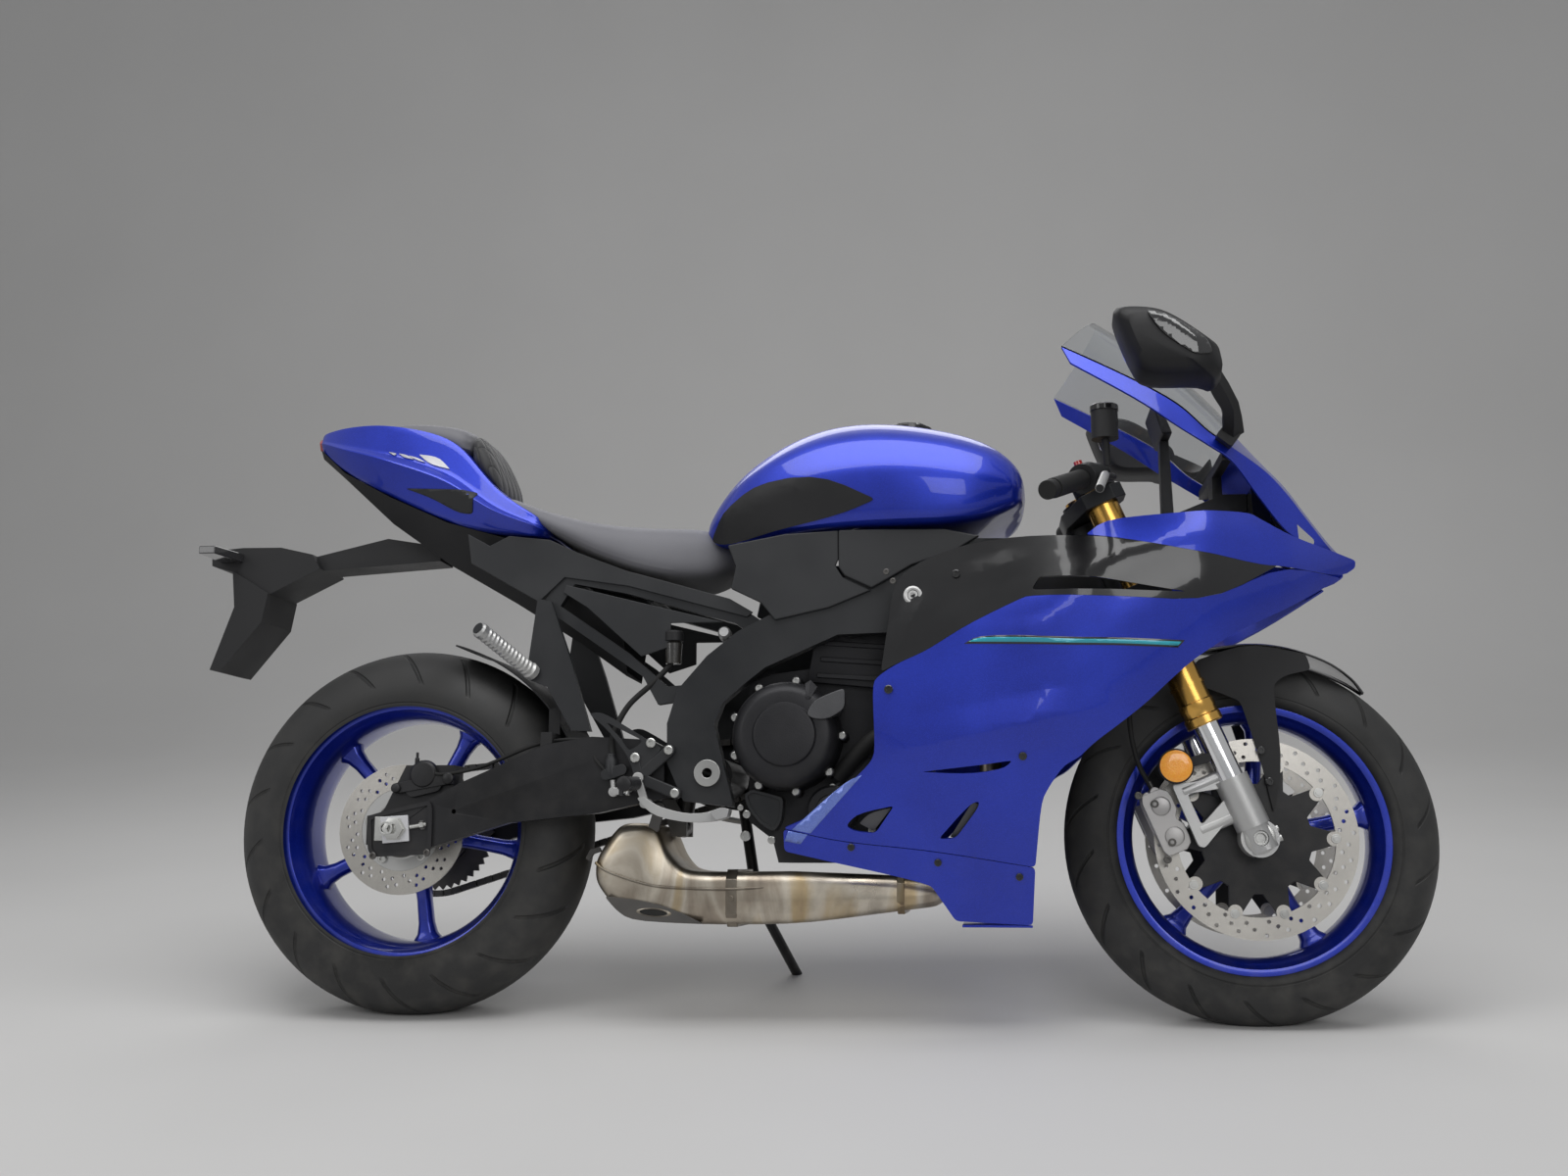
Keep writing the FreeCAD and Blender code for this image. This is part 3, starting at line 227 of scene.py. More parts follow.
def exhaustMaterial(name, share):
    # bare steel with straw, bronze and brown heat bands
    material, tree, shader, place = startMaterial(name)
    grain = useGroup(tree, "grain", place, Scale=320.0)
    stretched = addNode(tree, "Mapping", {"Vector": place, "Scale": (9.0, 3.0, 4.0)}).outputs[0]
    heat = addNode(tree, "TexNoise", {"Vector": stretched, "Scale": 1.0, "Detail": 5.0, "Distortion": 0.8})
    ramp = addNode(tree, "ValToRGB", {"Fac": heat.outputs[0]})
    stops = ((0.26, (0.16, 0.13, 0.11)), (0.40, (0.36, 0.31, 0.25)), (0.50, (0.56, 0.51, 0.43)),
             (0.60, (0.46, 0.36, 0.22)), (0.74, (0.22, 0.15, 0.12)))
    while len(ramp.color_ramp.elements) < len(stops):
        ramp.color_ramp.elements.new(0.5)
    for element, (position, color) in zip(ramp.color_ramp.elements, stops):
        element.position = position
        element.color = (*(part * share for part in color), 1)
    feed(tree, shader.inputs, {
        "Base Color": addDust(tree, place, ramp.outputs[0], 0.34, 1.0, (0.09, 0.075, 0.06)), "Metallic": 1.0,
        "Roughness": rangeNode(tree, grain["Tone"], 0, 1, 0.24, 0.44),
        "Normal": bumpNode(tree, grain["Height"], 0.25)})
    return material


def wheelPlace(tree, place, end):
    # object coordinates turned to the wheel's own axes, centred on its axle
    centre = park @ axleOf(end)
    tilt = (math.radians(-stand["lean"]), 0, 0)
    return addNode(tree, "Mapping", {"Vector": place, "Location": centre, "Rotation": tilt},
                   vector_type="TEXTURE").outputs[0]


def tyreMaterial(end):
    # slanted grooves over the tread, darkened with painted shade, and a darker side wall, laid out on the
    # tyre's own UV map
    material, tree, shader, place = startMaterial(end + "TyreRubber")
    grain = useGroup(tree, "grain", place, Scale=900.0)
    wrap = addNode(tree, "SeparateXYZ", {"Vector": addNode(tree, "UVMap", uv_map="wrap").outputs[0]}).outputs
    slanted = mathNode(tree, "ADD", mathNode(tree, "MULTIPLY", wrap[0], 18.0),
                       mathNode(tree, "MULTIPLY", wrap[1], 1.6))
    centred = mathNode(tree, "SUBTRACT", mathNode(tree, "FRACT", slanted), 0.5)
    line = rangeNode(tree, mathNode(tree, "ABSOLUTE", centred), 0.025, 0.05, 1.0, 0.0)
    side = mathNode(tree, "ABSOLUTE", wrap[1])
    band = mathNode(tree, "MULTIPLY", rangeNode(tree, side, 0.14, 0.17),
                    rangeNode(tree, side, 0.46, 0.5, 1.0, 0.0))
    grooveAndShade = mathNode(tree, "MULTIPLY", line, band)
    color = mixColor(tree, rangeNode(tree, side, 0.5, 0.62), (0.020, 0.020, 0.020), (0.010, 0.010, 0.010))
    # the grooves' near-black is painted shade in the cuts
    color = mixColor(tree, grooveAndShade, color, (0.003, 0.003, 0.003))
    cutIn = addNode(tree, "Bump", {"Height": grooveAndShade, "Strength": 1.0, "Distance": 0.004}, invert=True)
    feed(tree, shader.inputs, {
        "Base Color": addDust(tree, place, color, 0.7, 0.35, (0.10, 0.095, 0.085)),
        "Normal": bumpNode(tree, grain["Height"], 0.35, Normal=cutIn.outputs[0]),
        "Roughness": rangeNode(tree, grain["Tone"], 0, 1, 0.55, 0.78)})
    return material


def discMaterial(end):
    # turned steel with fine wear rings
    material, tree, shader, place = startMaterial(end + "DiscSteel")
    turned = wheelPlace(tree, place, end)
    rings = addNode(tree, "TexWave", {"Vector": turned, "Scale": 260.0, "Distortion": 0.4, "Detail": 2.0},
                    wave_type="RINGS", rings_direction="Y").outputs[1]
    grain = useGroup(tree, "grain", place, Scale=600.0)
    color = mixColor(tree, grain["Tone"], (0.40, 0.385, 0.36), (0.54, 0.52, 0.48))
    feed(tree, shader.inputs, {
        "Base Color": mixColor(tree, rings, color, (0.46, 0.44, 0.41)), "Metallic": 1.0,
        "Roughness": rangeNode(tree, rings, 0, 1, 0.26, 0.4), "Normal": bumpNode(tree, rings, 0.12, 0.0004)})
    return material


def seatMaterial(name, color, second, quilt):
    # grained cover, with a sewn lozenge quilt where quilt is above 0; the quilt's sewn dips are darkened with
    # painted shade
    material, tree, shader, place = startMaterial(name)
    grain = useGroup(tree, "grain", place, Scale=1500.0)
    tone = mixColor(tree, grain["Tone"], color, second)
    cells = addNode(tree, "TexVoronoi", {"Vector": place, "Scale": 700.0})
    relief = bumpNode(tree, cells.outputs[0], 0.3, 0.0005)
    if quilt > 0:
        turned = addNode(tree, "Mapping", {"Vector": place, "Rotation": (0.0, 0.0, math.radians(45)),
                                           "Scale": (quilt, quilt, quilt)}).outputs[0]
        parts = addNode(tree, "SeparateXYZ", {"Vector": turned}).outputs
        rows = [mathNode(tree, "ABSOLUTE", mathNode(tree, "SINE", parts[index])) for index in (0, 1)]
        seamDipAndShade = mathNode(tree, "POWER", mathNode(tree, "MINIMUM", *rows), 0.35)
        # the sewn dips take half the cover's colour, painted shade in the seams
        tone = mixColor(tree, seamDipAndShade, tuple(part * 0.5 for part in color), tone)
        relief = bumpNode(tree, seamDipAndShade, 0.9, 0.003, Normal=relief)
    feed(tree, shader.inputs, {"Base Color": tone, "Normal": relief, "Sheen Weight": 0.15,
                               "Roughness": rangeNode(tree, grain["Tone"], 0, 1, 0.55, 0.7)})
    return material


def glassMaterial(name, tint, rough):
    material, tree, shader, place = startMaterial(name)
    grain = useGroup(tree, "grain", place, Scale=120.0)
    feed(tree, shader.inputs, {
        "Base Color": mixColor(tree, grain["Tone"], tint, tuple(part * 0.97 for part in tint)),
        "Roughness": rangeNode(tree, grain["Tone"], 0, 1, rough, rough * 1.6), "Transmission Weight": 1.0,
        "IOR": 1.3})
    return material


def amberMaterial():
    # moulded reflector with a fine prism pattern
    material, tree, shader, place = startMaterial("amberLens")
    cells = addNode(tree, "TexVoronoi", {"Vector": place, "Scale": 420.0}).outputs[0]
    feed(tree, shader.inputs,
         {"Base Color": mixColor(tree, cells, (0.95, 0.30, 0.010), (1.0, 0.45, 0.03)),
          "Normal": bumpNode(tree, cells, 0.25, 0.001), "Roughness": 0.2, "Coat Weight": 1.0})
    return material


def coreMaterial():
    # fins and flat tubes of the cooler
    material, tree, shader, place = startMaterial("coolerCore")
    wave = addNode(tree, "TexWave", {"Vector": place, "Scale": 110.0}, wave_type="BANDS",
                   bands_direction="Z").outputs[1]
    feed(tree, shader.inputs,
         {"Base Color": mixColor(tree, wave, (0.004, 0.004, 0.004), (0.05, 0.05, 0.052)),
          "Normal": bumpNode(tree, wave, 0.8, 0.002), "Roughness": 0.55, "Metallic": 0.5})
    return material


finish = {name: makeFinish(name, *look) for name, look in finishTable.items()}
for share, name in ((1.0, "exhaustSteel"), (0.55, "heatSteel")):
    finish[name] = exhaustMaterial(name, share)
for end in ("front", "rear"):
    finish[end + "Tyre"] = tyreMaterial(end)
    finish[end + "Disc"] = discMaterial(end)
# the seats' covers are black; this light grey is painted sheen, the light glancing off them laid into the
# cover's colour
finish["seatGrey"] = seatMaterial("seatGrey", (0.115, 0.115, 0.128), (0.145, 0.145, 0.160), 0)
finish["seatQuilt"] = seatMaterial("seatQuilt", (0.014, 0.014, 0.015), (0.022, 0.022, 0.024), 160.0)
finish["clearScreen"] = glassMaterial("clearScreen", (0.86, 0.88, 0.90), 0.02)
finish["amberLens"] = amberMaterial()
finish["coolerCore"] = coreMaterial()
print("materials ready:", len(finish))


# Mesh helpers

def around(centre, reach, turn, y=0.0):
    # a point of a circle round the y axis
    return centre + Vector((reach * math.cos(turn), y, reach * math.sin(turn)))


def vertsOf(made):
    return [item for item in made["geom"] if isinstance(item, bmesh.types.BMVert)]


def moveBy(bm, way):
    bmesh.ops.translate(bm, verts=bm.verts, vec=way)


def turnY(bm, angle):
    bmesh.ops.rotate(bm, cent=(0, 0, 0), matrix=Matrix.Rotation(angle, 3, "Y"), verts=bm.verts)


def push(bm, faces, way):
    # the faces are moved, with walls back to where they were
    bmesh.ops.translate(bm, verts=vertsOf(bmesh.ops.extrude_face_region(bm, geom=faces)), vec=way)


def cutThrough(bm, place, normal, near):
    bmesh.ops.bisect_plane(bm, geom=bm.verts[:] + bm.edges[:] + bm.faces[:], dist=near, plane_co=place,
                           plane_no=normal)


def outsideOut(bm):
    bmesh.ops.recalc_face_normals(bm, faces=bm.faces)
    return bm


def newObject(name, data):
    made = bpy.data.objects.new(name, data)
    bpy.context.scene.collection.objects.link(made)
    return made


def ringOf(bm, points):
    verts = [bm.verts.new(point) for point in points]
    return [bm.edges.new(pair) for pair in zip(verts, verts[1:] + verts[:1])]


def closeRing(bm, edges):
    bmesh.ops.contextual_create(bm, geom=edges)


def hull(sections):
    # a closed body through rings of points
    bm = bmesh.new()
    rings = [ringOf(bm, points) for points in sections]
    for first, second in zip(rings, rings[1:]):
        bmesh.ops.bridge_loops(bm, edges=first + second)
    closeRing(bm, rings[0])
    closeRing(bm, rings[-1])
    return outsideOut(bm)


def alongLine(points, share):
    # a smooth line through the points, share 0 to 1
    spans = len(points) - 1
    at = min(max(share, 0.0), 1.0) * spans
    index = min(int(at), spans - 1)
    t = at - index
    a = Vector(points[max(index - 1, 0)])
    b = Vector(points[index])
    c = Vector(points[index + 1])
    d = Vector(points[min(index + 2, spans)])
    return 0.5 * ((2 * b) + (c - a) * t + (2 * a - 5 * b + 4 * c - d) * t * t
                  + (3 * b - a - 3 * c + d) * t ** 3)


def sheetThrough(lines, across, along):
    # a smooth sheet through guide lines that run the same way
    bm = bmesh.new()
    bmesh.ops.create_grid(bm, x_segments=along, y_segments=across, size=1.0)
    for vert in bm.verts:
        u = (vert.co.x + 1) / 2
        v = (vert.co.y + 1) / 2
        vert.co = alongLine([alongLine(line, u) for line in lines], v)
    return bm


def drum(start, end, radius, sides=24):
    # a round bar between two points
    start = Vector(start)
    end = Vector(end)
    line = end - start
    bm = bmesh.new()
    turn = line.to_track_quat("Z", "Y").to_matrix().to_4x4()
    bmesh.ops.create_cone(bm, cap_ends=True, segments=sides, radius1=radius, radius2=radius,
                          depth=line.length, matrix=Matrix.Translation((start + end) / 2) @ turn)
    return bm


def spun(profile, centre, steps, closed=True):
    # a ring turned round the wheel axis from a profile of y and radius
    bm = bmesh.new()
    verts = [bm.verts.new((0, y, r)) for y, r in profile]
    ends = verts[1:] + verts[:1] if closed else verts[1:]
    edges = [bm.edges.new(pair) for pair in zip(verts, ends)]
    bmesh.ops.spin(bm, geom=verts + edges, cent=(0, 0, 0), axis=(0, 1, 0), dvec=(0, 0, 0),
                   angle=math.tau, steps=steps, use_merge=True, use_duplicate=False)
    outsideOut(bm)
    moveBy(bm, centre)
    return bm


def lathe(profile, start, way, steps=24):
    # a turned piece: distance along the axis and radius, from its start in the given way
    bm = bmesh.new()
    verts = [bm.verts.new((radius, 0, at)) for at, radius in profile]
    edges = [bm.edges.new(pair) for pair in zip(verts, verts[1:])]
    bmesh.ops.spin(bm, geom=verts + edges, cent=(0, 0, 0), axis=(0, 0, 1), dvec=(0, 0, 0),
                   angle=math.tau, steps=steps, use_merge=True, use_duplicate=False)
    bmesh.ops.remove_doubles(bm, verts=bm.verts, dist=0.001)
    outsideOut(bm)
    turn = Vector(way).to_track_quat("Z", "Y").to_matrix().to_4x4()
    bm.transform(Matrix.Translation(start) @ turn)
    return bm


def socketBolt(spot, way, radius):
    # a round head with a socket in its face
    tall = radius * 0.7
    return lathe(((0, 0), (0, radius), (tall * 0.8, radius), (tall, radius * 0.82), (tall, radius * 0.5),
                  (tall * 0.45, radius * 0.46), (tall * 0.45, 0)), spot, way, 12)


def boltSet(name, body, material, spots):
    # spots are x, y, z and radius on the right side, repeated on the left
    parts = []
    for x, y, z, radius in spots:
        for side in (1, -1):
            parts.append(socketBolt((x, side * y, z), (0, side * (1 if y > 0 else -1), 0), radius))
    return addPiece(join(parts), name, body, "steel", material, smooth=30)


def tube(points, radius, sides=10, steps=8):
    # a round bar bent smoothly through the points
    count = steps * (len(points) - 1)
    spots = [alongLine(points, index / count) for index in range(count + 1)]
    rings = []
    for index, spot in enumerate(spots):
        way = spots[min(index + 1, count)] - spots[max(index - 1, 0)]
        turn = way.to_track_quat("Z", "Y").to_matrix()
        rings.append([spot + turn @ Vector((radius * math.cos(math.tau * k / sides),
                                            radius * math.sin(math.tau * k / sides), 0))
                      for k in range(sides)])
    return hull(rings)


def capsule(first, second, radius, steps=8):
    # the outline of a bar with round ends
    a = Vector(first)
    b = Vector(second)
    heading = math.atan2(b.y - a.y, b.x - a.x)
    points = []
    for centre, start in ((b, heading - math.pi / 2), (a, heading + math.pi / 2)):
        for index in range(steps + 1):
            turn = start + math.pi * index / steps
            points.append((centre.x + radius * math.cos(turn), centre.y + radius * math.sin(turn)))
    return points


def plate(outline, yNear, yFar):
    # a flat piece of that outline in x and z
    bm = bmesh.new()
    closeRing(bm, ringOf(bm, [(x, yNear, z) for x, z in outline]))
    push(bm, bm.faces[:], (0, yFar - yNear, 0))
    return outsideOut(bm)


def join(parts):
    bm = bmesh.new()
    for part in parts:
        mesh = bpy.data.meshes.new("part")
        part.to_mesh(mesh)
        bm.from_mesh(mesh)
        bpy.data.meshes.remove(mesh)
        part.free()
    return bm


def bothSides(bm):
    made = bmesh.ops.duplicate(bm, geom=bm.verts[:] + bm.edges[:] + bm.faces[:])
    faces = [item for item in made["geom"] if isinstance(item, bmesh.types.BMFace)]
    bmesh.ops.scale(bm, vec=(1, -1, 1), verts=vertsOf(made))
    bmesh.ops.reverse_faces(bm, faces=faces)
    return bm


def thicken(piece, wall, offset):
    solid = piece.modifiers.new("wall", "SOLIDIFY")
    solid.thickness = wall / 1000
    solid.offset = offset
    solid.use_even_offset = True


def roundEdges(piece, width, segments, angle):
    bevel = piece.modifiers.new("edges", "BEVEL")
    bevel.width = width / 1000
    bevel.segments = segments
    bevel.limit_method = "ANGLE"
    bevel.angle_limit = math.radians(angle)
    bevel.harden_normals = True


def addPiece(bm, name, body, slotName, material, replaces=(), smooth=38, wall=0.0, offset=-1.0,
             edge=0.0, segments=2, angle=38):
    # parks the mesh, names it, hands it to the body that carries it, gives it its wall and rounds its edges
    bm.transform(park)
    mesh = bpy.data.meshes.new(name)
    bm.to_mesh(mesh)
    bm.free()
    mesh.shade_smooth()
    mesh.set_sharp_from_angle(angle=math.radians(smooth))
    piece = newObject(name, mesh)
    mesh.materials.append(finish[material])
    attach(piece, body)
    if replaces:
        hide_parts(*replaces)
    if wall:
        thicken(piece, wall, offset)
    if edge:
        roundEdges(piece, edge, segments, angle)
    return piece


def addPanel(bm, name, slotName, material, replaces=(), wall=4.0, edge=1.4, **more):
    # a thin panel of the bodywork
    return addPiece(bm, name, "chassis", slotName, material, replaces, 50, wall, edge=edge, angle=50, **more)


def subdivide(piece, levels):
    smooth = piece.modifiers.new("smooth", "SUBSURF")
    smooth.levels = levels
    smooth.render_levels = levels


# CAD nodes whose shape stays: merged copies with softened edges
# body, then node: slot, finish, edge width
dressing = {
    "chassis": {
        "main_frame": ("frame_paint", "framePaint", 3.0),
        "pivot_shaft": ("steel", "steel", 1.0),
        "subframe": ("frame_paint", "framePaint", 2.0),
        "engine_block": ("engine_cast", "engineCast", 5.0),
        "radiator": ("black_metal", "coolerCore", 1.5),
        "swingarm": ("black_metal", "armPaint", 5.0),
        "rear_axle": ("steel", "steel", 1.0),
        "rear_caliper": ("black_metal", "armPaint", 2.0),
        "chain": ("steel", "darkSteel", 0.8),
        "shock_absorber": ("black_metal", "darkSteel", 1.5),
        "tank_side_covers": ("black_matte", "panelGrey", 2.5),
        "air_duct_covers": ("black_matte", "panelGrey", 3.0),
        "tail_undertray": ("black_matte", "blackPlastic", 1.5),
        "subframe_covers": ("black_matte", "panelGrey", 1.2),
        "seat_side_panels": ("black_matte", "panelGrey", 1.2),
        "plate_holder": ("black_matte", "blackPlastic", 3.0),
        "rear_indicators": ("lamp_lens", "lensDark", 2.0),
        "tail_lamp": ("red_lens", "lensRed", 0.6),
        "rear_hugger": ("black_matte", "blackPlastic", 1.0),
        "fairing_stay": ("black_metal", "blackPlastic", 2.0),
        "headlamp": ("lamp_lens", "lensDark", 3.0),
        "instrument_panel": ("black_matte", "blackPlastic", 4.0),
        "passenger_pegs": ("black_metal", "framePaint", 2.0),
        "stand_bracket": ("black_metal", "armPaint", 1.0),
    },
    "side_stand": {
        "side_stand": ("black_metal", "armPaint", 1.0),
    },
    "steering": {
        "triple_clamps": ("black_metal", "framePaint", 2.5),
        "fork_tubes": ("gold_tube", "goldTube", 0.8),
        "fork_stanchions": ("chrome", "chrome", 0.5),
        "fork_bottoms": ("cast_silver", "castSilver", 2.5),
        "front_axle": ("steel", "steel", 1.0),
        "clip_on_bars": ("black_metal", "armPaint", 1.5),
        "grips": ("grip_rubber", "rubber", 1.5),
        "hand_controls": ("black_matte", "blackPlastic", 1.5),
    },
    "rear_wheel": {
        "rear_sprocket": ("steel", "darkSteel", 0.6),
    },
}


def plainName(node):
    words = node.split("_")
    return words[0] + "".join(word.capitalize() for word in words[1:])


def dressNode(node, body, slotName, material, width):
    bm = bmesh.new()
    bm.from_mesh(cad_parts[node].data)
    bmesh.ops.remove_doubles(bm, verts=bm.verts, dist=0.00002)
    bmesh.ops.dissolve_limit(bm, angle_limit=math.radians(1.0), verts=bm.verts, edges=bm.edges)
    bm.transform(park.inverted())
    addPiece(bm, plainName(node), body, slotName, material, (node,), edge=width)


for body, nodes in dressing.items():
    for node, facts in nodes.items():
        dressNode(node, body, *facts)
print("dressed nodes:", sum(len(nodes) for nodes in dressing.values()))


# Wheels

def tyrePiece(end):
    wheel = wheels[end]
    crown = wheel["crown"]
    core = wheel["radius"] - crown
    bead = wheel["half"] - 6.3
    half = []
    for angle in (0, 9, 18, 27, 36, 45, 53, 61, 68, 75, 81, 86):
        turn = math.radians(angle)
        half.append((crown * math.sin(turn), core + crown * math.cos(turn)))
    low = wheels["bead"] + 0.3
    side = half[-1][0]
    half += [(side, core - 6), (side - 0.9, core - 7), (side - 0.9, core - 9), (side - 0.2, core - 10),
             (side * 0.97 + bead * 0.03, core - 14), (side * 0.6 + bead * 0.4, low + 7), (bead + 1, low + 3),
             (bead, low), (bead - 14, low), (crown * 0.86, core + 6), (crown * 0.5, core + crown * 0.72),
             (0, wheel["radius"] - 9)]
    profile = half + [(-y, r) for y, r in reversed(half[1:-1])]
    bm = spun(profile, axleOf(end), 120)
    layer = bm.loops.layers.uv.new("wrap")
    centre = axleOf(end)
    for face in bm.faces:
        spot = face.calc_center_median() - centre
        home = math.atan2(spot.x, spot.z) / math.tau
        for loop in face.loops:
            at = loop.vert.co - centre
            turn = math.atan2(at.x, at.z) / math.tau
            turn += round(home - turn)
            reach = math.hypot(at.x, at.z) - core
            loop[layer].uv = (turn, math.atan2(at.y, max(reach, -20.0)) / math.pi * 1.2)
    return addPiece(bm, end + "Tyre", end + "_wheel", "tyre_rubber", end + "Tyre", (end + "_tyre",))


rimShape = {
    # y as a share of the half width, radius: from the lip to the well
    "lip": ((0.86, 212.0), (0.9, 217.5), (0.96, 219.0), (1.0, 217.0), (1.0, 209.0), (0.985, 206.5),
            (0.95, 205.0), (0.88, 203.5), (0.8, 199.0), (0.66, 193.5), (0.45, 190.0), (0.2, 189.0)),
    "seat": ((0.62, 207.0), (0.42, 199.0), (0.3, 197.0)),
}


def rimPiece(end):
    wheel = wheels[end]
    half = wheel["half"]
    right = [(share * half, r) for share, r in rimShape["lip"]]
    outside = [(share * half, r) for share, r in rimShape["seat"]]
    inner = right + [(0.0, 189.0)] + [(-y, r) for y, r in reversed(right)]
    outer = [(-y, r) for y, r in outside] + [(y, r) for y, r in reversed(outside)]
    centre = axleOf(end)
    parts = [spun(inner + outer, centre, 120)]
    parts.append(spun([(-wheel["right"], 13.0), (-wheel["right"], wheel["hub"]),
                       (-wheel["right"] * 0.55, wheel["hub"] + 6), (wheel["left"] * 0.55, wheel["hub"] + 6),
                       (wheel["left"], wheel["hub"]), (wheel["left"], 13.0)], centre, 48))
    deep = 24 if end == "front" else 30
    for index in range(wheels["spokes"]):
        # reach, half width, half depth
        stations = ((24, 27, deep), (44, 20, deep - 4), (80, 14, deep - 8), (120, 12.5, 15), (160, 13.5, 14),
                    (178, 17, 15), (190, 26, 18))
        rings = []
        for reach, wide, depth in stations:
            rings.append([(side * wide * across, depth * deepShare, reach) for side, across, deepShare in (
                (-1, 0.55, -1), (1, 0.55, -1), (1, 1, -0.45), (1, 1, 0.45), (1, 0.55, 1), (-1, 0.55, 1),
                (-1, 1, 0.45), (-1, 1, -0.45))])
        spoke = hull(rings)
        bmesh.ops.bevel(spoke, geom=spoke.edges[:], offset=2.2, segments=2, affect="EDGES", profile=0.5,
                        material=-1, clamp_overlap=True)
        turn = math.radians(90 - wheel["turn"] - 360 * index / wheels["spokes"])
        turnY(spoke, -turn)
        moveBy(spoke, centre)
        parts.append(spoke)
    return addPiece(join(parts), end + "Rim", end + "_wheel", "blue_rim", "blueRim", (end + "_rim",),
                    smooth=32)


def drilledDisc(inner, outer, yNear, wall, centre, sectors, holes):
    # one sector with its holes is filled, then copied round and given its thickness
    sheet = bmesh.new()
    step = math.tau / sectors
    arc = 6

    def polar(reach, turn):
        return (reach * math.cos(turn), yNear, reach * math.sin(turn))

    border = [polar(outer, step * index / arc) for index in range(arc + 1)]
    border += [polar(inner, step * index / arc) for index in range(arc, -1, -1)]
    edges = ringOf(sheet, border)
    for reach, share, radius in holes:
        middle = Vector(polar(reach, step * share))
        edges += ringOf(sheet, [around(middle, radius, math.tau * k / 10) for k in range(10)])
    bmesh.ops.triangle_fill(sheet, use_beauty=True, edges=edges)
    mesh = bpy.data.meshes.new("sector")
    sheet.to_mesh(mesh)
    sheet.free()
    bm = bmesh.new()
    for index in range(sectors):
        first = len(bm.verts)
        bm.from_mesh(mesh)
        bm.verts.ensure_lookup_table()
        bmesh.ops.rotate(bm, cent=(0, 0, 0), matrix=Matrix.Rotation(step * index, 3, "Y"),
                         verts=bm.verts[first:])
    bpy.data.meshes.remove(mesh)
    bmesh.ops.remove_doubles(bm, verts=bm.verts, dist=0.02)
    outsideOut(bm)
    push(bm, bm.faces[:], (0, wall, 0))
    outsideOut(bm)
    moveBy(bm, centre)
    return bm


discs = {
    "frontOuter": 160.0, "frontInner": 124.0, "frontY": 72.0, "wall": 5.0, "bobbins": 10,
    "rearOuter": 110.0, "rearInner": 70.0, "rearY": -88.0,
    "frontHoles": ((131, 0.2, 3.4), (140, 0.38, 3.4), (149, 0.56, 3.4), (134, 0.7, 3.4), (143, 0.88, 3.4),
                   (152, 0.12, 3.4)),
    "rearHoles": ((78, 0.2, 3.2), (88, 0.4, 3.2), (98, 0.6, 3.2), (83, 0.72, 3.2), (93, 0.9, 3.2)),
}


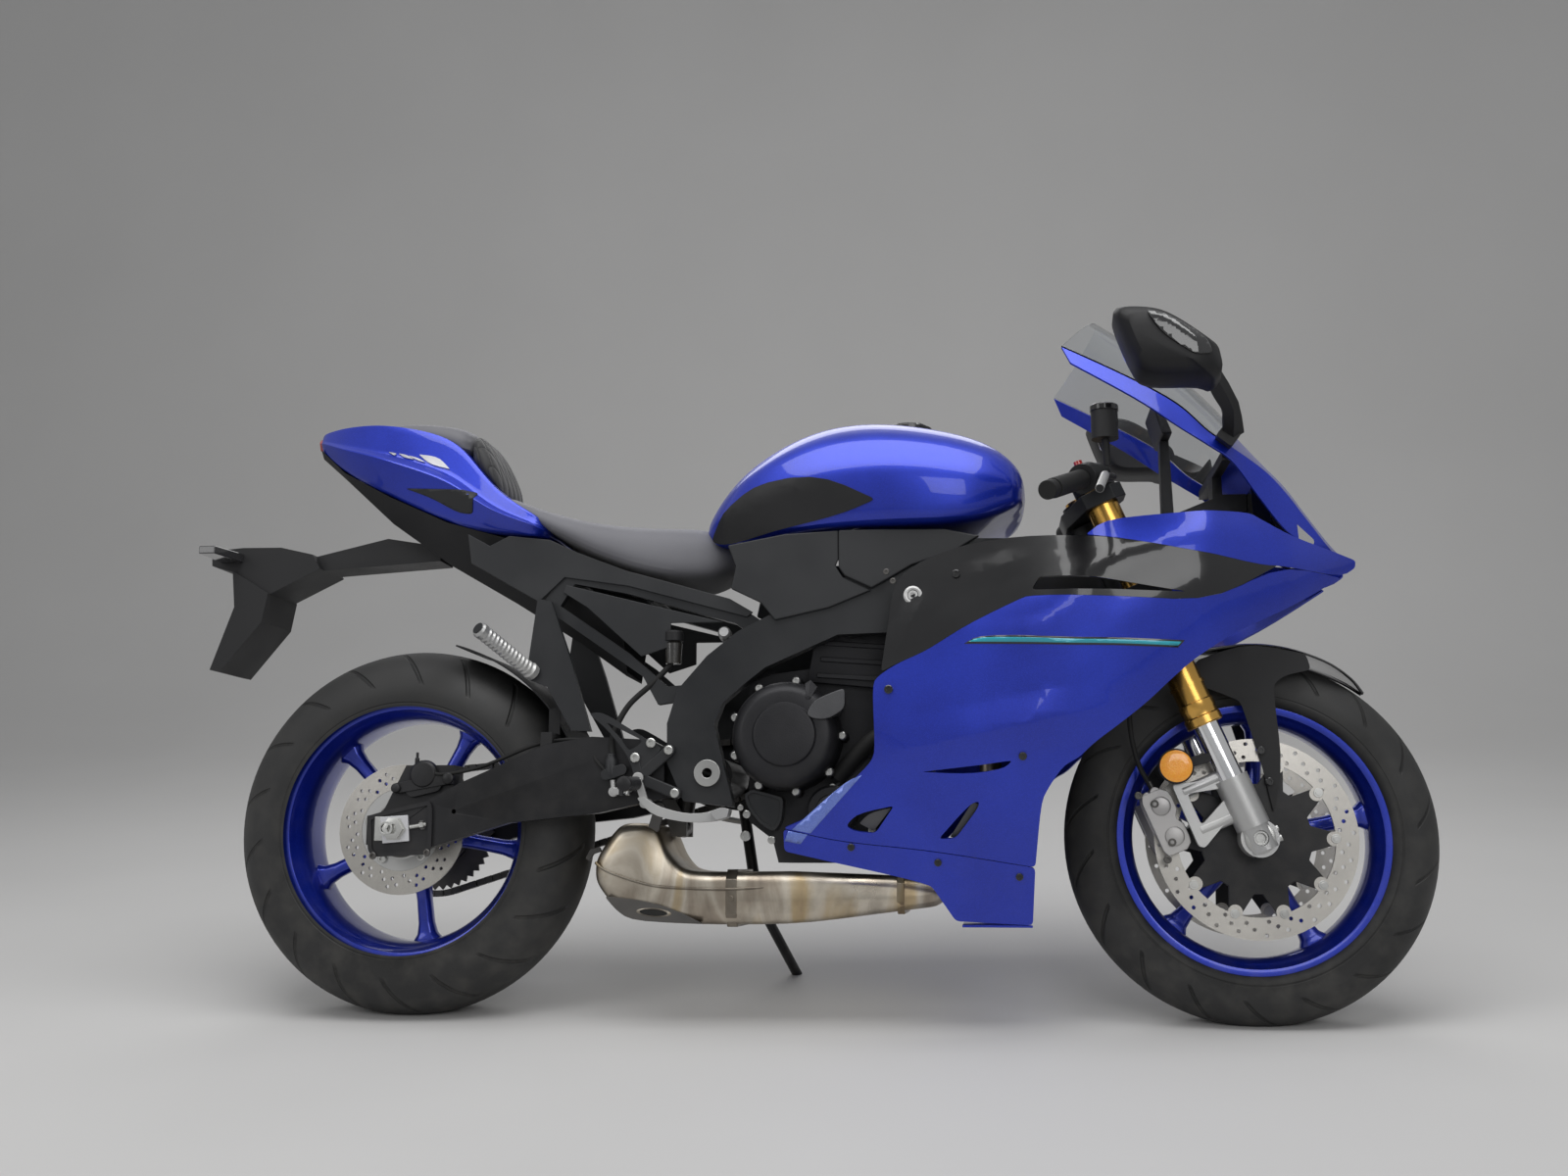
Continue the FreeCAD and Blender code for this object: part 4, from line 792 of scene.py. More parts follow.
def discPieces():
    wall = discs["wall"]
    count = discs["bobbins"]
    centre = axleOf("front")
    pair = []
    for side in (1, -1):
        y = discs["frontY"] if side > 0 else -discs["frontY"] - wall
        pair.append(drilledDisc(discs["frontInner"], discs["frontOuter"], y, wall, centre, 12,
                                discs["frontHoles"]))
        for index in range(count):
            # round lobes on the ring's inner edge hold the bobbins
            turn = math.tau * index / count
            spot = around(centre, 121, turn, y - 0.15)
            pair.append(drum(spot, spot + Vector((0, wall + 0.3, 0)), 11.5, 20))
    addPiece(join(pair), "frontDiscRings", "front_wheel", "disc_steel", "frontDisc", ("front_discs",),
             smooth=30)
    carriers = []
    studs = []
    for side in (1, -1):
        face = side * (discs["frontY"] + 2.5)
        arms = []
        for index in range(count * 4):
            turn = math.tau * (index - 0.5) / (count * 4)
            reach = (123.5, 123.5, 88, 88)[index % 4]
            arms.append((reach * math.cos(turn), reach * math.sin(turn)))
        star = plate(arms, face - side * 2.2, face + side * 2.2)
        moveBy(star, centre)
        bell = spun([(side * 60, 38), (side * 60, 66), (side * 71, 74), (face - side * 1.5, 78),
                     (face + side * 1.5, 74), (side * 70, 60), (side * 66, 38)], centre, 60)
        carriers += [star, bell]
        for index in range(count):
            turn = math.tau * index / count
            spot = around(centre, 124, turn)
            low = spot + Vector((0, face - side * 4.2, 0))
            high = spot + Vector((0, face + side * 4.2, 0))
            studs.append(drum(low, high, 7.5, 20))
            studs.append(drum(high, high + Vector((0, side * 1.2, 0)), 4.5, 16))
            bolt = around(centre, 54, turn, face - side * 7)
            studs.append(drum(bolt, bolt + Vector((0, side * 5, 0)), 5.5, 6))
    addPiece(join(carriers), "frontDiscCarriers", "front_wheel", "black_metal", "armPaint", edge=1.2)
    addPiece(join(studs), "frontDiscBobbins", "front_wheel", "steel", "steel", edge=0.6)
    rear = axleOf("rear")
    ring = drilledDisc(discs["rearInner"], discs["rearOuter"], discs["rearY"], wall, rear, 12,
                       discs["rearHoles"])
    addPiece(ring, "rearDiscRing", "rear_wheel", "disc_steel", "rearDisc", ("rear_disc",), smooth=30)
    y = discs["rearY"]
    face = spun([(y + 11, 30), (y + 11, 64), (y + 4, 69.8), (y + 0.4, 69.8), (y + 0.4, 50), (y - 1.0, 48),
                 (y - 1.0, 30)], rear, 60)
    addPiece(face, "rearDiscCarrier", "rear_wheel", "cast_silver", "castSilver", smooth=30)
    bolts = []
    for index in range(5):
        turn = math.tau * (index + 0.3) / 5
        bolt = around(rear, 58, turn, y + 0.4)
        bolts.append(socketBolt(bolt, rightWay, 7.5))
    addPiece(join(bolts), "rearDiscBolts", "rear_wheel", "steel", "steel")
    slots = [spun([(y - 3.5, 31), (y - 3.5, 34), (y - 1.2, 34), (y - 1.2, 31)], rear, 60),
             spun([(y - 3.5, 44), (y - 3.5, 47), (y - 1.2, 47), (y - 1.2, 44)], rear, 60)]
    for index in range(36):
        # the bars between the slots of the ring
        turn = math.tau * index / 36
        bar = plate([(33, -1.6), (45, -2.2), (45, 2.2), (33, 1.6)], y - 3.4, y - 1.3)
        turnY(bar, turn)
        moveBy(bar, rear)
        slots.append(bar)
    addPiece(join(slots), "rearSpeedRing", "rear_wheel", "black_metal", "darkSteel")


for end in ("front", "rear"):
    tyrePiece(end)
    rimPiece(end)
discPieces()
print("wheels ready")


# Sheets and framed plates

def softOutline(points, reach):
    # gentle bends become arcs, sharp corners keep a small radius
    smooth = []
    count = len(points)
    for index, (x, z) in enumerate(points):
        here = Vector((x, z))
        back = Vector(points[index - 1]) - here
        ahead = Vector(points[(index + 1) % count]) - here
        bend = math.pi - back.angle(ahead)
        share = 0.45 if bend < math.radians(38) else 0.3
        limit = 60.0 if bend < math.radians(38) else reach
        start = here + back.normalized() * min(limit, back.length * share)
        end = here + ahead.normalized() * min(limit, ahead.length * share)
        if bend < math.radians(3):
            smooth.append(here)
            continue
        for step in range(4):
            t = step / 3
            smooth.append(start * (1 - t) ** 2 + here * 2 * t * (1 - t) + end * t * t)
    return smooth


def cutSheet(outline, holes=(), reach=7.0, step=16.0):
    # a flat sheet of that outline, cut into a fine net so that it can follow a curved face
    bm = bmesh.new()
    edges = []
    for loop in (outline, *holes):
        edges += ringOf(bm, [(x, 0, z) for x, z in softOutline(loop, reach)])
    bmesh.ops.triangle_fill(bm, use_beauty=True, edges=edges)
    for axis, normal in ((0, (1, 0, 0)), (2, (0, 0, 1))):
        low = min(vert.co[axis] for vert in bm.verts)
        high = max(vert.co[axis] for vert in bm.verts)
        at = math.ceil(low / step) * step
        while at < high:
            spot = [0, 0, 0]
            spot[axis] = at + 0.001
            cutThrough(bm, spot, normal, 0.0001)
            at += step
    slanted = []
    for edge in bm.edges:
        line = edge.verts[0].co - edge.verts[1].co
        if not edge.is_boundary and abs(line.x) > 0.01 and abs(line.z) > 0.01:
            slanted.append(edge)
    bmesh.ops.dissolve_edges(bm, edges=slanted, use_verts=False)
    return bm


def outwards(bm, towards):
    # an open sheet is turned so that its face looks the given way
    total = Vector((0, 0, 0))
    for face in bm.faces:
        face.normal_update()
        total += face.normal * face.calc_area()
    if total.dot(Vector(towards)) < 0:
        bmesh.ops.reverse_faces(bm, faces=bm.faces)
    return bm


# Engine, exhaust, foot controls and the ends of the swingarm

engineSide = {
    "clutch": (668, 467), "ears": 9, "earReach": 92,
    # depth from the middle plane and radius, from the case outwards
    "dome": ((91, 0), (91, 90), (130, 90), (134, 87.5), (146, 88), (156, 83), (163, 75), (165.5, 69),
             (165.5, 53), (167.5, 51), (169.5, 50), (170.5, 46), (170.5, 0)),
    "generator": ((91, 0), (91, 78), (134, 78), (137, 75), (143, 70), (148, 60), (149.5, 50), (149.5, 28),
                  (147.5, 26), (147.5, 0)),
    "arm": ((705, 500), (716, 521), (740, 532), (768, 542), (768, 508), (740, 490), (714, 492)),
    "lower": ((597, 372), (611, 381), (662, 367), (660, 328), (646, 311), (622, 326), (603, 350)),
    "web": ((735, 300), (800, 300), (835, 352), (835, 420), (800, 440), (765, 400), (742, 388)),
    "sprocketCover": ((592, 380), (586, 440), (592, 505), (640, 512), (690, 500), (712, 430), (690, 370),
                      (640, 362)),
}


def framedPlate(outline, near, far, rim, deep):
    # a plate whose outer face is sunk inside a raised rim
    bm = plate(softOutline(outline, 8.0), near, far)
    face = max(bm.faces, key=lambda item: (round(abs(item.calc_center_median().y), 2), len(item.verts)))
    bmesh.ops.inset_region(bm, faces=[face], thickness=rim, depth=0.0, use_even_offset=True)
    outside = [item for item in bm.faces
               if abs(item.normal.y) > 0.9 and abs(item.calc_center_median().y - far) < 0.1]
    inner = min(outside, key=lambda item: -len(item.verts))
    push(bm, [inner], (0, -deep if far > near else deep, 0))
    bmesh.ops.delete(bm, geom=[inner], context="FACES_ONLY")
    return outsideOut(bm)


def enginePieces():
    x, z = engineSide["clutch"]
    parts = [lathe(engineSide["dome"], (x, 0, z), rightWay, 64)]
    bolts = []
    for index in range(engineSide["ears"]):
        turn = math.tau * index / engineSide["ears"]
        ear = Vector((x + engineSide["earReach"] * math.cos(turn), 0,
                      z + engineSide["earReach"] * math.sin(turn)))
        parts.append(lathe(((91, 0), (91, 9), (131, 9), (133, 7.5), (133, 0)), ear, rightWay, 16))
        bolts.append((ear.x, -132, ear.z, 6.5))
    parts.append(lathe(((91, 0), (91, 42), (126, 42), (130, 38), (130, 27), (138, 25), (140, 22), (140, 12),
                        (134, 9), (134, 0)), (742, 0, 345), rightWay, 40))
    parts.append(hull([[(700, -150, 552), (712, -150, 540), (722, -150, 546), (710, -150, 558)],
                       [(702, -166, 528), (706, -166, 522), (712, -166, 526), (708, -166, 532)]]))
    addPiece(join(parts), "clutchCover", "chassis", "engine_cast", "engineCast", ("engine_covers",), edge=1.2,
             angle=50)
    lower = framedPlate(engineSide["lower"], -91, -126, 5, 4)
    web = framedPlate(engineSide["web"], -91, -112, 5, 4)
    addPiece(join([lower, web]), "lowerCovers", "chassis", "engine_cast", "framePaint", edge=1.0)
    arm = plate(softOutline(engineSide["arm"], 9.0), -146, -171)
    stem = lathe(((100, 0), (100, 13), (148, 13), (150, 0)), (748, 0, 516), rightWay, 20)
    addPiece(join([arm, stem]), "clutchArm", "chassis", "engine_cast", "castGrey", edge=5.0, segments=3)
    left = [lathe(engineSide["generator"], (800, 0, 440), (0, 1, 0), 56)]
    for index in range(8):
        turn = math.tau * (index + 0.5) / 8
        ear = Vector((800 + 79 * math.cos(turn), 0, 440 + 79 * math.sin(turn)))
        left.append(lathe(((91, 0), (91, 8), (128, 8), (130, 0)), ear, (0, 1, 0), 14))
        bolts.append((ear.x, 129, ear.z, 6.0))
    addPiece(join(left), "generatorCover", "chassis", "engine_cast", "engineCast", edge=1.2, angle=50)
    cover = framedPlate(engineSide["sprocketCover"], 118, 130, 7, 3)
    post = drum((690, 91, 425), (690, 119, 425), 14)
    addPiece(join([cover, post]), "sprocketCover", "chassis", "black_matte", "blackPlastic", edge=1.5)
    for spot in ((610, 490), (680, 490), (612, 392), (676, 384)):
        bolts.append((spot[0], 127, spot[1], 6.0))
    bolts += [(591, -124, 351, 5.0), (602, -127, 340, 6.5), (598, -112, 305, 8.5), (643, -124, 298, 6.5),
              (742, -110, 385, 6.0), (806, -110, 316, 6.5), (826, -110, 400, 6.5)]
    parts = [socketBolt((x, y, z), (0, 1 if y > 0 else -1, 0), radius) for x, y, z, radius in bolts]
    addPiece(join(parts), "engineBolts", "chassis", "steel", "steel", smooth=30)
    ribs = []
    for index in range(5):
        rise = 566 + index * 27
        ribs.append(plate([(716 + index * 6, rise), (934 + index * 2, rise - 16), (936 + index * 2, rise - 8),
                           (716 + index * 6, rise + 8)], -110, 110))
    addPiece(join(ribs), "headRibs", "chassis", "engine_cast", "engineCast", edge=1.5)
    hoses = [tube([(770, -118, 640), (812, -132, 655), (850, -134, 640), (872, -128, 600), (884, -122, 548)],
                  12),
             tube([(896, -120, 690), (880, -130, 660), (868, -128, 625), (900, -122, 590), (960, -116, 560)],
                  9), tube([(750, -112, 400), (800, -128, 452), (842, -126, 474), (905, -118, 470)], 14),
             tube([(600, -70, 640), (640, -96, 668), (700, -100, 680), (770, -90, 700)], 7),
             tube([(905, 120, 640), (880, 134, 600), (860, 134, 540), (900, 122, 480)], 12)]
    addPiece(join(hoses), "coolantHoses", "chassis", "grip_rubber", "rubber", smooth=60)
    fittings = [lathe(((0, 0), (0, 17), (10, 19), (16, 17), (26, 17), (32, 12), (34, 0)), (872, -128, 655),
                      (0.2, -0.1, 0.9), 20),
                lathe(((0, 0), (0, 15), (20, 14), (24, 10), (24, 0)), (858, -116, 628), rightWay, 20),
                lathe(((0, 0), (0, 11), (18, 11), (22, 8), (22, 0)), (560, -98, 640), (0, -1, 0.2), 16)]
    addPiece(join(fittings), "hoseFittings", "chassis", "cast_silver", "castSilver", smooth=30)
    bottle = lathe(((0, 0), (2, 13), (36, 15), (40, 12), (40, 0)), (473, -112, 590), (0, 0, 1), 20)
    addPiece(bottle, "rearFluidBottle", "chassis", "black_matte", "fluidTank")
    cap = lathe(((0, 0), (0, 17), (15, 17), (18, 14), (18, 0)), (473, -112, 630), (0, 0, 1), 16)
    addPiece(cap, "rearFluidCap", "chassis", "black_matte", "blackPlastic", smooth=30, edge=0.8)


# Exhaust: the chamber's outline seen from the side, its weld seam, lower plate and outlet, the headers' y
exhaust = {
    "near": -115, "far": 86,
    "outline": ((396, 327), (383, 322), (367, 304), (347, 273), (343, 256), (344, 232), (358, 210),
                (383, 183), (411, 166), (532, 161), (685, 163), (852, 185), (913, 193), (945, 227),
                (853, 241), (660, 248), (542, 247), (508, 248), (487, 254), (467, 277), (455, 308),
                (445, 320), (428, 327)),
    "seam": ((346, 262), (362, 250), (387, 240), (420, 230), (455, 223), (510, 220), (567, 219), (640, 222)),
    "tip": ((364, 207), (433, 200), (487, 184), (530, 163), (411, 167), (384, 184)),
    "headers": (-66, 0, 66), "collect": 0.6, "outlet": (447, 181),
    # clamp bands: start, width, low and high edge
    "bands": ((566, 18, 158, 251), (846, 12, 180, 245)),
}


def exhaustPieces():
    near = exhaust["near"]
    far = exhaust["far"]
    outletX, outletZ = exhaust["outlet"]
    rings = []
    # y, and how far the section shrinks there towards its faces
    for y, shrink in ((near, 20), (near + 5, 8), (near + 14, 1.5), (near + 26, 0), (0, 0),
                      (far - 26, 0), (far - 14, 1.5), (far - 5, 8), (far, 20)):
        ring = []
        for point in softOutline(exhaust["outline"], 12.0):
            spine = Vector((min(max(point.x, 410), 900), 225 if point.x < 470 else 205))
            pull = spine - point
            ring.append((point.x + pull.normalized().x * min(shrink, pull.length * 0.7), y,
                         point.y + pull.normalized().y * min(shrink, pull.length * 0.7)))
        rings.append(ring)
    addPiece(hull(rings), "exhaustChamber", "chassis", "exhaust_steel", "exhaustSteel", ("exhaust_system",),
             smooth=70)
    pipes = []
    for y in exhaust["headers"]:
        pipes.append(tube([(890, y, 600), (960, y, 598), (996, y, 560), (1000, y, 440), (998, y * 0.95, 300),
                           (985, y * 0.8, 238), (935, y * exhaust["collect"], 214)], 18, 18))
    addPiece(join(pipes), "exhaustHeaders", "chassis", "exhaust_steel", "exhaustSteel", smooth=70)
    seam = tube([(px, near - 1 + 4 * (1 if index in (0, 7) else 0), pz)
                 for index, (px, pz) in enumerate(exhaust["seam"])], 2.6, 8, 5)
    bands = []
    for start, wide, low, high in exhaust["bands"]:
        bands.append(hull([[(at, near - 1.5, low + 20), (at, near + 18, low), (at, far - 16, low),
                            (at, far + 1.5, low + 20), (at, far + 1.5, high - 16), (at, far - 16, high),
                            (at, near + 18, high), (at, near - 1.5, high - 16)]
                           for at in (start, start + wide)]))
    bands.append(drum((575, -119, 204), (575, -112, 204), 5))
    addPiece(join([seam] + bands), "exhaustBands", "chassis", "exhaust_steel", "heatSteel", edge=1.5)
    tip = plate(softOutline(exhaust["tip"], 6.0), near - 2.5, near + 10)
    addPiece(tip, "exhaustLowerPlate", "chassis", "black_metal", "darkSteel", edge=2.0)
    oval = spun([(-1, 9), (1, 12), (1, 9)], Vector((0, 0, 0)), 32)
    bmesh.ops.scale(oval, vec=(2.6, 1, 0.62), verts=oval.verts)
    turnY(oval, math.radians(4))
    moveBy(oval, (outletX, near - 3, outletZ))
    # a thin near-black disc fills the outlet: painted shade inside the pipe's mouth
    hole = lathe(((0, 0), (0, 9.4), (0.6, 9.4), (0.6, 0)), (0, 0, 0), rightWay, 32)
    bmesh.ops.scale(hole, vec=(2.6, 1, 0.62), verts=hole.verts)
    moveBy(hole, (outletX, near - 2.6, outletZ))
    addPiece(oval, "exhaustOutletRim", "chassis", "exhaust_steel", "heatSteel")
    addPiece(hole, "exhaustOutlet", "chassis", "black_metal", "rubber")
    hook = [plate(softOutline([(318, 268), (326, 284), (342, 288), (346, 280), (332, 276), (326, 264)], 3.0),
                  -70, -62), plate(capsule((442, 318), (452, 352), 9), -106, -98)]
    addPiece(join(hook), "exhaustHangers", "chassis", "steel", "darkSteel", edge=1.0)


# Foot controls on the right and left
foot = {
    "guard": ((342, 504), (356, 507), (372, 503), (455, 452), (466, 446), (440, 420), (424, 408), (414, 418),
              (408, 436), (376, 476)),
    "guardHole": ((370, 491), (434, 459), (422, 448), (410, 443), (396, 463)),
    "stays": (((428, 398), (478, 443), 9.5), ((428, 398), (489, 373), 9.5), ((428, 398), (420, 430), 8.0)),
    "bolts": ((448, -163, 455, 8.0), (422, -163, 431, 8.0), (478, -165, 443, 7.5), (489, -165, 373, 7.5)),
    "pedal": ((433, 364), (444, 367), (468, 350), (516, 338), (556, 341), (576, 348), (588, 345), (584, 332),
              (562, 326), (515, 324), (458, 336)),
    "pad": ((556, 341), (576, 348), (588, 345), (584, 332), (566, 328)),
    "shift": ((490, 164, 385), (500, 190, 350), (530, 195, 340), (560, 196, 338), (600, 200, 346)),
}


def footPieces():
    guards = []
    for side in (-1, 1):
        sheet = cutSheet(foot["guard"], (foot["guardHole"],), 8.0, 60.0)
        moveBy(sheet, (0, side * 160, 0))
        guards.append(outwards(sheet, (0, side, 0)))
    addPiece(join(guards), "heelGuards", "chassis", "black_metal", "framePaint", ("rider_pegs",), smooth=30,
             wall=5.0, offset=0.0, edge=1.2, angle=50)
    stays = []
    pegs = []
    for side in (-1, 1):
        for first, second, radius in foot["stays"]:
            stays.append(plate(capsule(first, second, radius), side * 151, side * 164))
        ridges = [(0, 0), (0, 15), (6, 15), (8, 10.5)]
        for index in range(11):
            ridges += [(12 + index * 7.4, 9.2), (14 + index * 7.4, 11.4), (17 + index * 7.4, 11.4)]
        pegs.append(lathe(ridges + [(92, 12.5), (98, 12.0), (100, 8), (100, 0)], (427, side * 150, 390),
                          (-0.05, side, -0.06), 20))
        pegs.append(drum((418, side * 244, 380), (418, side * 244, 366), 4, 12))
    addPiece(join(stays), "footStays", "chassis", "black_metal", "framePaint", edge=2.5)
    addPiece(join(pegs), "riderPegs", "chassis", "black_metal", "armPaint", smooth=30)
    boltSet("footBolts", "chassis", "steel", foot["bolts"])
    pedal = [plate(softOutline(foot["pedal"], 6.0), -200, -190),
             plate(softOutline(foot["pad"], 3.0), -222, -188), drum((444, -191, 356), (444, -159, 356), 8),
             drum((428, -164, 398), (428, -171, 398), 9),
             plate(capsule((440, 362), (430, 392), 6), -176, -168)]
    addPiece(join(pedal), "brakePedal", "chassis", "cast_silver", "castSilver", ("foot_pedals",), edge=1.6)
    shift = [tube(foot["shift"], 6), drum((490, 158.3, 385), (490, 170, 385), 12)]
    addPiece(join(shift), "shiftLever", "chassis", "cast_silver", "castSilver")
    rod = [drum((492, 168, 380), (584, 140, 432), 4, 12), drum((486, 164, 376), (498, 172, 386), 8, 12)]
    rod.append(lathe(((0, 0), (0, 9), (26, 9.5), (34, 9), (34, 0)), (584, 195, 344), (0.9, 0.05, 0.2), 16))
    addPiece(join(rod), "shiftRod", "chassis", "black_metal", "darkSteel")
    pump = [lathe(((0, 0), (0, 10), (6, 11), (30, 11), (34, 8), (40, 8), (42, 5), (42, 0)), (380, -150, 398),
                  (-0.05, 0, 1), 18),
            plate(capsule((372, 404), (398, 412), 9), -160, -150)]
    addPiece(join(pump), "rearBrakePump", "chassis", "black_metal", "framePaint", edge=1.0)
    link = [drum((382, -152, 396), (384, -152, 376), 4.5, 12),
            drum((384, -157, 376), (384, -146, 376), 8, 16),
            plate(capsule((386, 376), (410, 381), 6), -158, -149),
            drum((410, -165, 370), (414, -158, 400), 4.0, 12)]
    addPiece(join(link), "brakeLink", "chassis", "steel", "castSilver", edge=1.0)
    lines = [tube([(380, -150, 438), (378, -140, 470), (400, -126, 520), (440, -116, 560), (470, -112, 592)],
                  5),
             tube([(372, -150, 408), (350, -142, 430), (330, -132, 462), (250, -128, 458), (150, -127, 420),
                   (80, -124, 408), (60, -118, 416)], 3.2)]
    addPiece(join(lines), "rearBrakeLines", "chassis", "grip_rubber", "rubber", smooth=60)


# The swingarm's end castings, chain adjusters and the rear caliper's moulded parts
armEnd = {
    "plate": ((-38, 334), (-30, 341), (69, 363), (75, 352), (75, 284), (66, 274), (-24, 270), (-34, 280)),
    "block": ((-14, 336), (34, 339), (38, 296), (-8, 292)),
    "bolts": ((-24, -149, 272, 6.0), (69, -149, 277, 6.0)),
}


def armPieces():
    ends = []
    blocks = []
    nuts = []
    for side in (-1, 1):
        ends.append(framedPlate(armEnd["plate"], side * 143.2, side * 148.6, 7, 2.6))
        blocks.append(plate(armEnd["block"], side * 146.2, side * 152.5))
        nuts.append(lathe(((0, 0), (0, 21), (1.5, 21), (2, 18), (9, 18), (9.5, 16), (9.5, 9), (2, 8.4),
                           (2, 0)), (11, side * 152.4, 316), (0, side, 0), 6))
        nuts.append(drum((38, side * 150, 319), (66, side * 150, 324), 3.6, 12))
        nuts.append(drum((56, side * 150, 322.2), (62, side * 150, 323.2), 7.5, 6))
    addPiece(join(ends), "armEnds", "chassis", "black_metal", "armPaint", edge=1.5)
    addPiece(join(blocks), "chainAdjusters", "chassis", "cast_silver", "silverTape", edge=1.2)
    addPiece(join(nuts), "axleNuts", "chassis", "steel", "steel", smooth=30)
    boltSet("armBolts", "chassis", "darkSteel", armEnd["bolts"])
    caliper = [lathe(((0, 0), (0, 25), (10, 24), (14, 20), (15, 12), (15, 0)), (47, -112, 408), rightWay, 28),
               plate(capsule((2, 385), (90, 400), 9), -124, -112),
               plate(capsule((30, 384), (66, 392), 14), -122, -104),
               lathe(((0, 0), (0, 11), (10, 10), (12, 6), (12, 0)), (92, -118, 401), rightWay, 16),
               lathe(((0, 0), (0, 9), (8, 8), (10, 5), (10, 0)), (1, -120, 385), rightWay, 16),
               lathe(((0, 0), (0, 4), (12, 4), (13, 2.4), (22, 2.4), (22, 0)), (32, -112, 424), (0, 0, 1),
                     10)]
    addPiece(join(caliper), "rearCaliperBody", "chassis", "black_metal", "armPaint", edge=2.0)
    serrated = [(0, 0), (0, 14), (10, 15)]
    for index in range(13):
        serrated += [(14 + index * 9, 11), (16 + index * 9, 13.4), (20 + index * 9, 13.4)]
    pegs = [lathe(serrated + [(134, 14), (138, 12), (138, 0)], (236, side * 130, 577), (-65, side * 105, 62),
                  12) for side in (-1, 1)]
    addPiece(join(pegs), "passengerPegGrips", "chassis", "cast_silver", "castSilver", smooth=30)


# Front end: caliper halves and mounts, fork rings, hoses and fender

front = {
    "middle": 79.0, "behind": 118.0,
    # ahead and rise round the caliper
    "body": ((-22, -52), (10, -52), (20, -44), (22, -34), (22, -12), (15, -3), (15, 3), (22, 12), (22, 34),
             (20, 44), (10, 52), (-22, 52), (-26, 40), (-26, -40)),
    "mount": ((-92, -54), (-84, -60), (-6, -20), (8, -12), (8, 26), (-60, 42), (-90, 50)),
    "mountHole": ((-74, -26), (-14, 2), (-16, 14), (-74, 28)),
    "crown": ((111, 309.5), (104, 313.5), (90, 314), (78, 314), (66, 313.5), (57, 312), (51, 308)),
    "leg": ((1330, 552), (1374, 536), (1405, 522), (1432, 430), (1449, 341), (1466, 419), (1459, 517),
            (1459, 549), (1477, 564), (1519, 572), (1512, 598), (1420, 618), (1338, 590)),
    "bolts": ((1433, -83, 442, 6.5), (1444, -83, 392, 6.5)),
}


def wheelTurn(angle, reach, side):
    turn = math.radians(angle)
    return around(axleOf("front"), reach, turn, side)


def caliperPieces():
    leg = fork["leg"]
    behind = fork["offset"] - front["behind"]
    bodies = []
    bolts = []
    mounts = []
    for side in (-1, 1):
        for near, far in ((53.5, 66.8), (82.2, 96.0)):
            corners = [[legPoint(front["middle"] + rise, side * at, behind + ahead)
                        for ahead, rise in front["body"]] for at in (near, far)]
            bodies.append(hull(corners))
        # the halves meet only beyond the edge of the disc
        for rise, ahead in ((46, -14), (49, 1)):
            spot = legPoint(front["middle"] + rise, side * 56, behind + ahead)
            bodies.append(drum(spot, spot + Vector((0, side * 38, 0)), 9, 16))
        for rise in (-26, 26):
            pot = legPoint(front["middle"] + rise, side * 95.5, behind)
            bodies.append(lathe(((0, 0), (0, 16), (3, 15), (4, 12), (4, 0)), pot, (0, side, 0), 28))
        for rise, ahead in ((46, -8), (112, -8), (24, -26), (134, -26)):
            spot = legPoint(rise, side * 96.2, behind + ahead)
            bolts.append(socketBolt(spot, (0, side, 0), 6.5))
        spot = legPoint(front["middle"] + 51, side * 84, behind)
        bolts.append(lathe(((0, 0), (0, 7), (5, 7), (6, 4), (18, 4), (19, 0)), spot, steerUp, 12))
        outline = [legPoint(front["middle"] + rise, 0, fork["offset"] + ahead)
                   for ahead, rise in front["mount"]]
        hole = [legPoint(front["middle"] + rise, 0, fork["offset"] + ahead)
                for ahead, rise in front["mountHole"]]
        sheet = cutSheet([(p.x, p.z) for p in outline], ([(p.x, p.z) for p in hole],), 7.0, 60.0)
        moveBy(sheet, (0, side * 107, 0))
        mounts.append(outwards(sheet, (0, side, 0)))
    addPiece(join(bodies), "frontCalipers", "steering", "cast_silver", "caliperGrey", ("front_calipers",),
             edge=2.5)
    addPiece(join(mounts), "caliperMounts", "steering", "cast_silver", "castSilver", smooth=30, wall=12.0,
             offset=0.0, edge=3.0, segments=3, angle=50)
    addPiece(join(bolts), "caliperBolts", "steering", "steel", "darkSteel", smooth=30)
    rings = []
    nuts = []
    for side in (-1, 1):
        rings.append(lathe(((0, 21.8), (0, 28), (2, 30.5), (14, 30.5), (16, 28), (24, 28), (26, 29), (38, 29),
                            (40, 27.1)), legPoint(196, side * leg), steerUp, 40))
        rings.append(lathe(((0, 27.1), (0, 29), (5, 29), (5, 27.1)), legPoint(262, side * leg), steerUp, 40))
        nuts.append(lathe(((0, 9), (0, 24), (3, 24), (4, 21), (4, 13), (0.6, 12.4), (0.6, 0)),
                          axleOf("front") + Vector((0, side * 119.2, 0)), (0, side, 0), 24))
        pinch = legPoint(-12, side * leg, fork["offset"] + 24)
        nuts.append(drum(pinch, pinch + steerAhead * 9, 6.0, 12))
        nuts.append(drum(legPoint(4, side * leg, fork["offset"] + 24),
                         legPoint(4, side * leg, fork["offset"] + 34), 6.0, 12))
    addPiece(join(rings), "forkSealRings", "steering", "gold_tube", "goldTube", smooth=30)
    addPiece(join(nuts), "forkFootBolts", "steering", "steel", "steel", smooth=30)
    hoses = []
    for side in (-1, 1):
        route = ((131, -90, 84), (150, -91, 84), (180, -93, 86), (230, -84, 90), (290, -60, 94),
                 (345, -28, 97), (409, -8, 98))
        hoses.append(tube([legPoint(rise, side * out, ahead) for rise, ahead, out in route], 4.2))
    addPiece(join(hoses), "brakeHoses", "steering", "grip_rubber", "rubber", smooth=60)


reflector = (1294, 415)


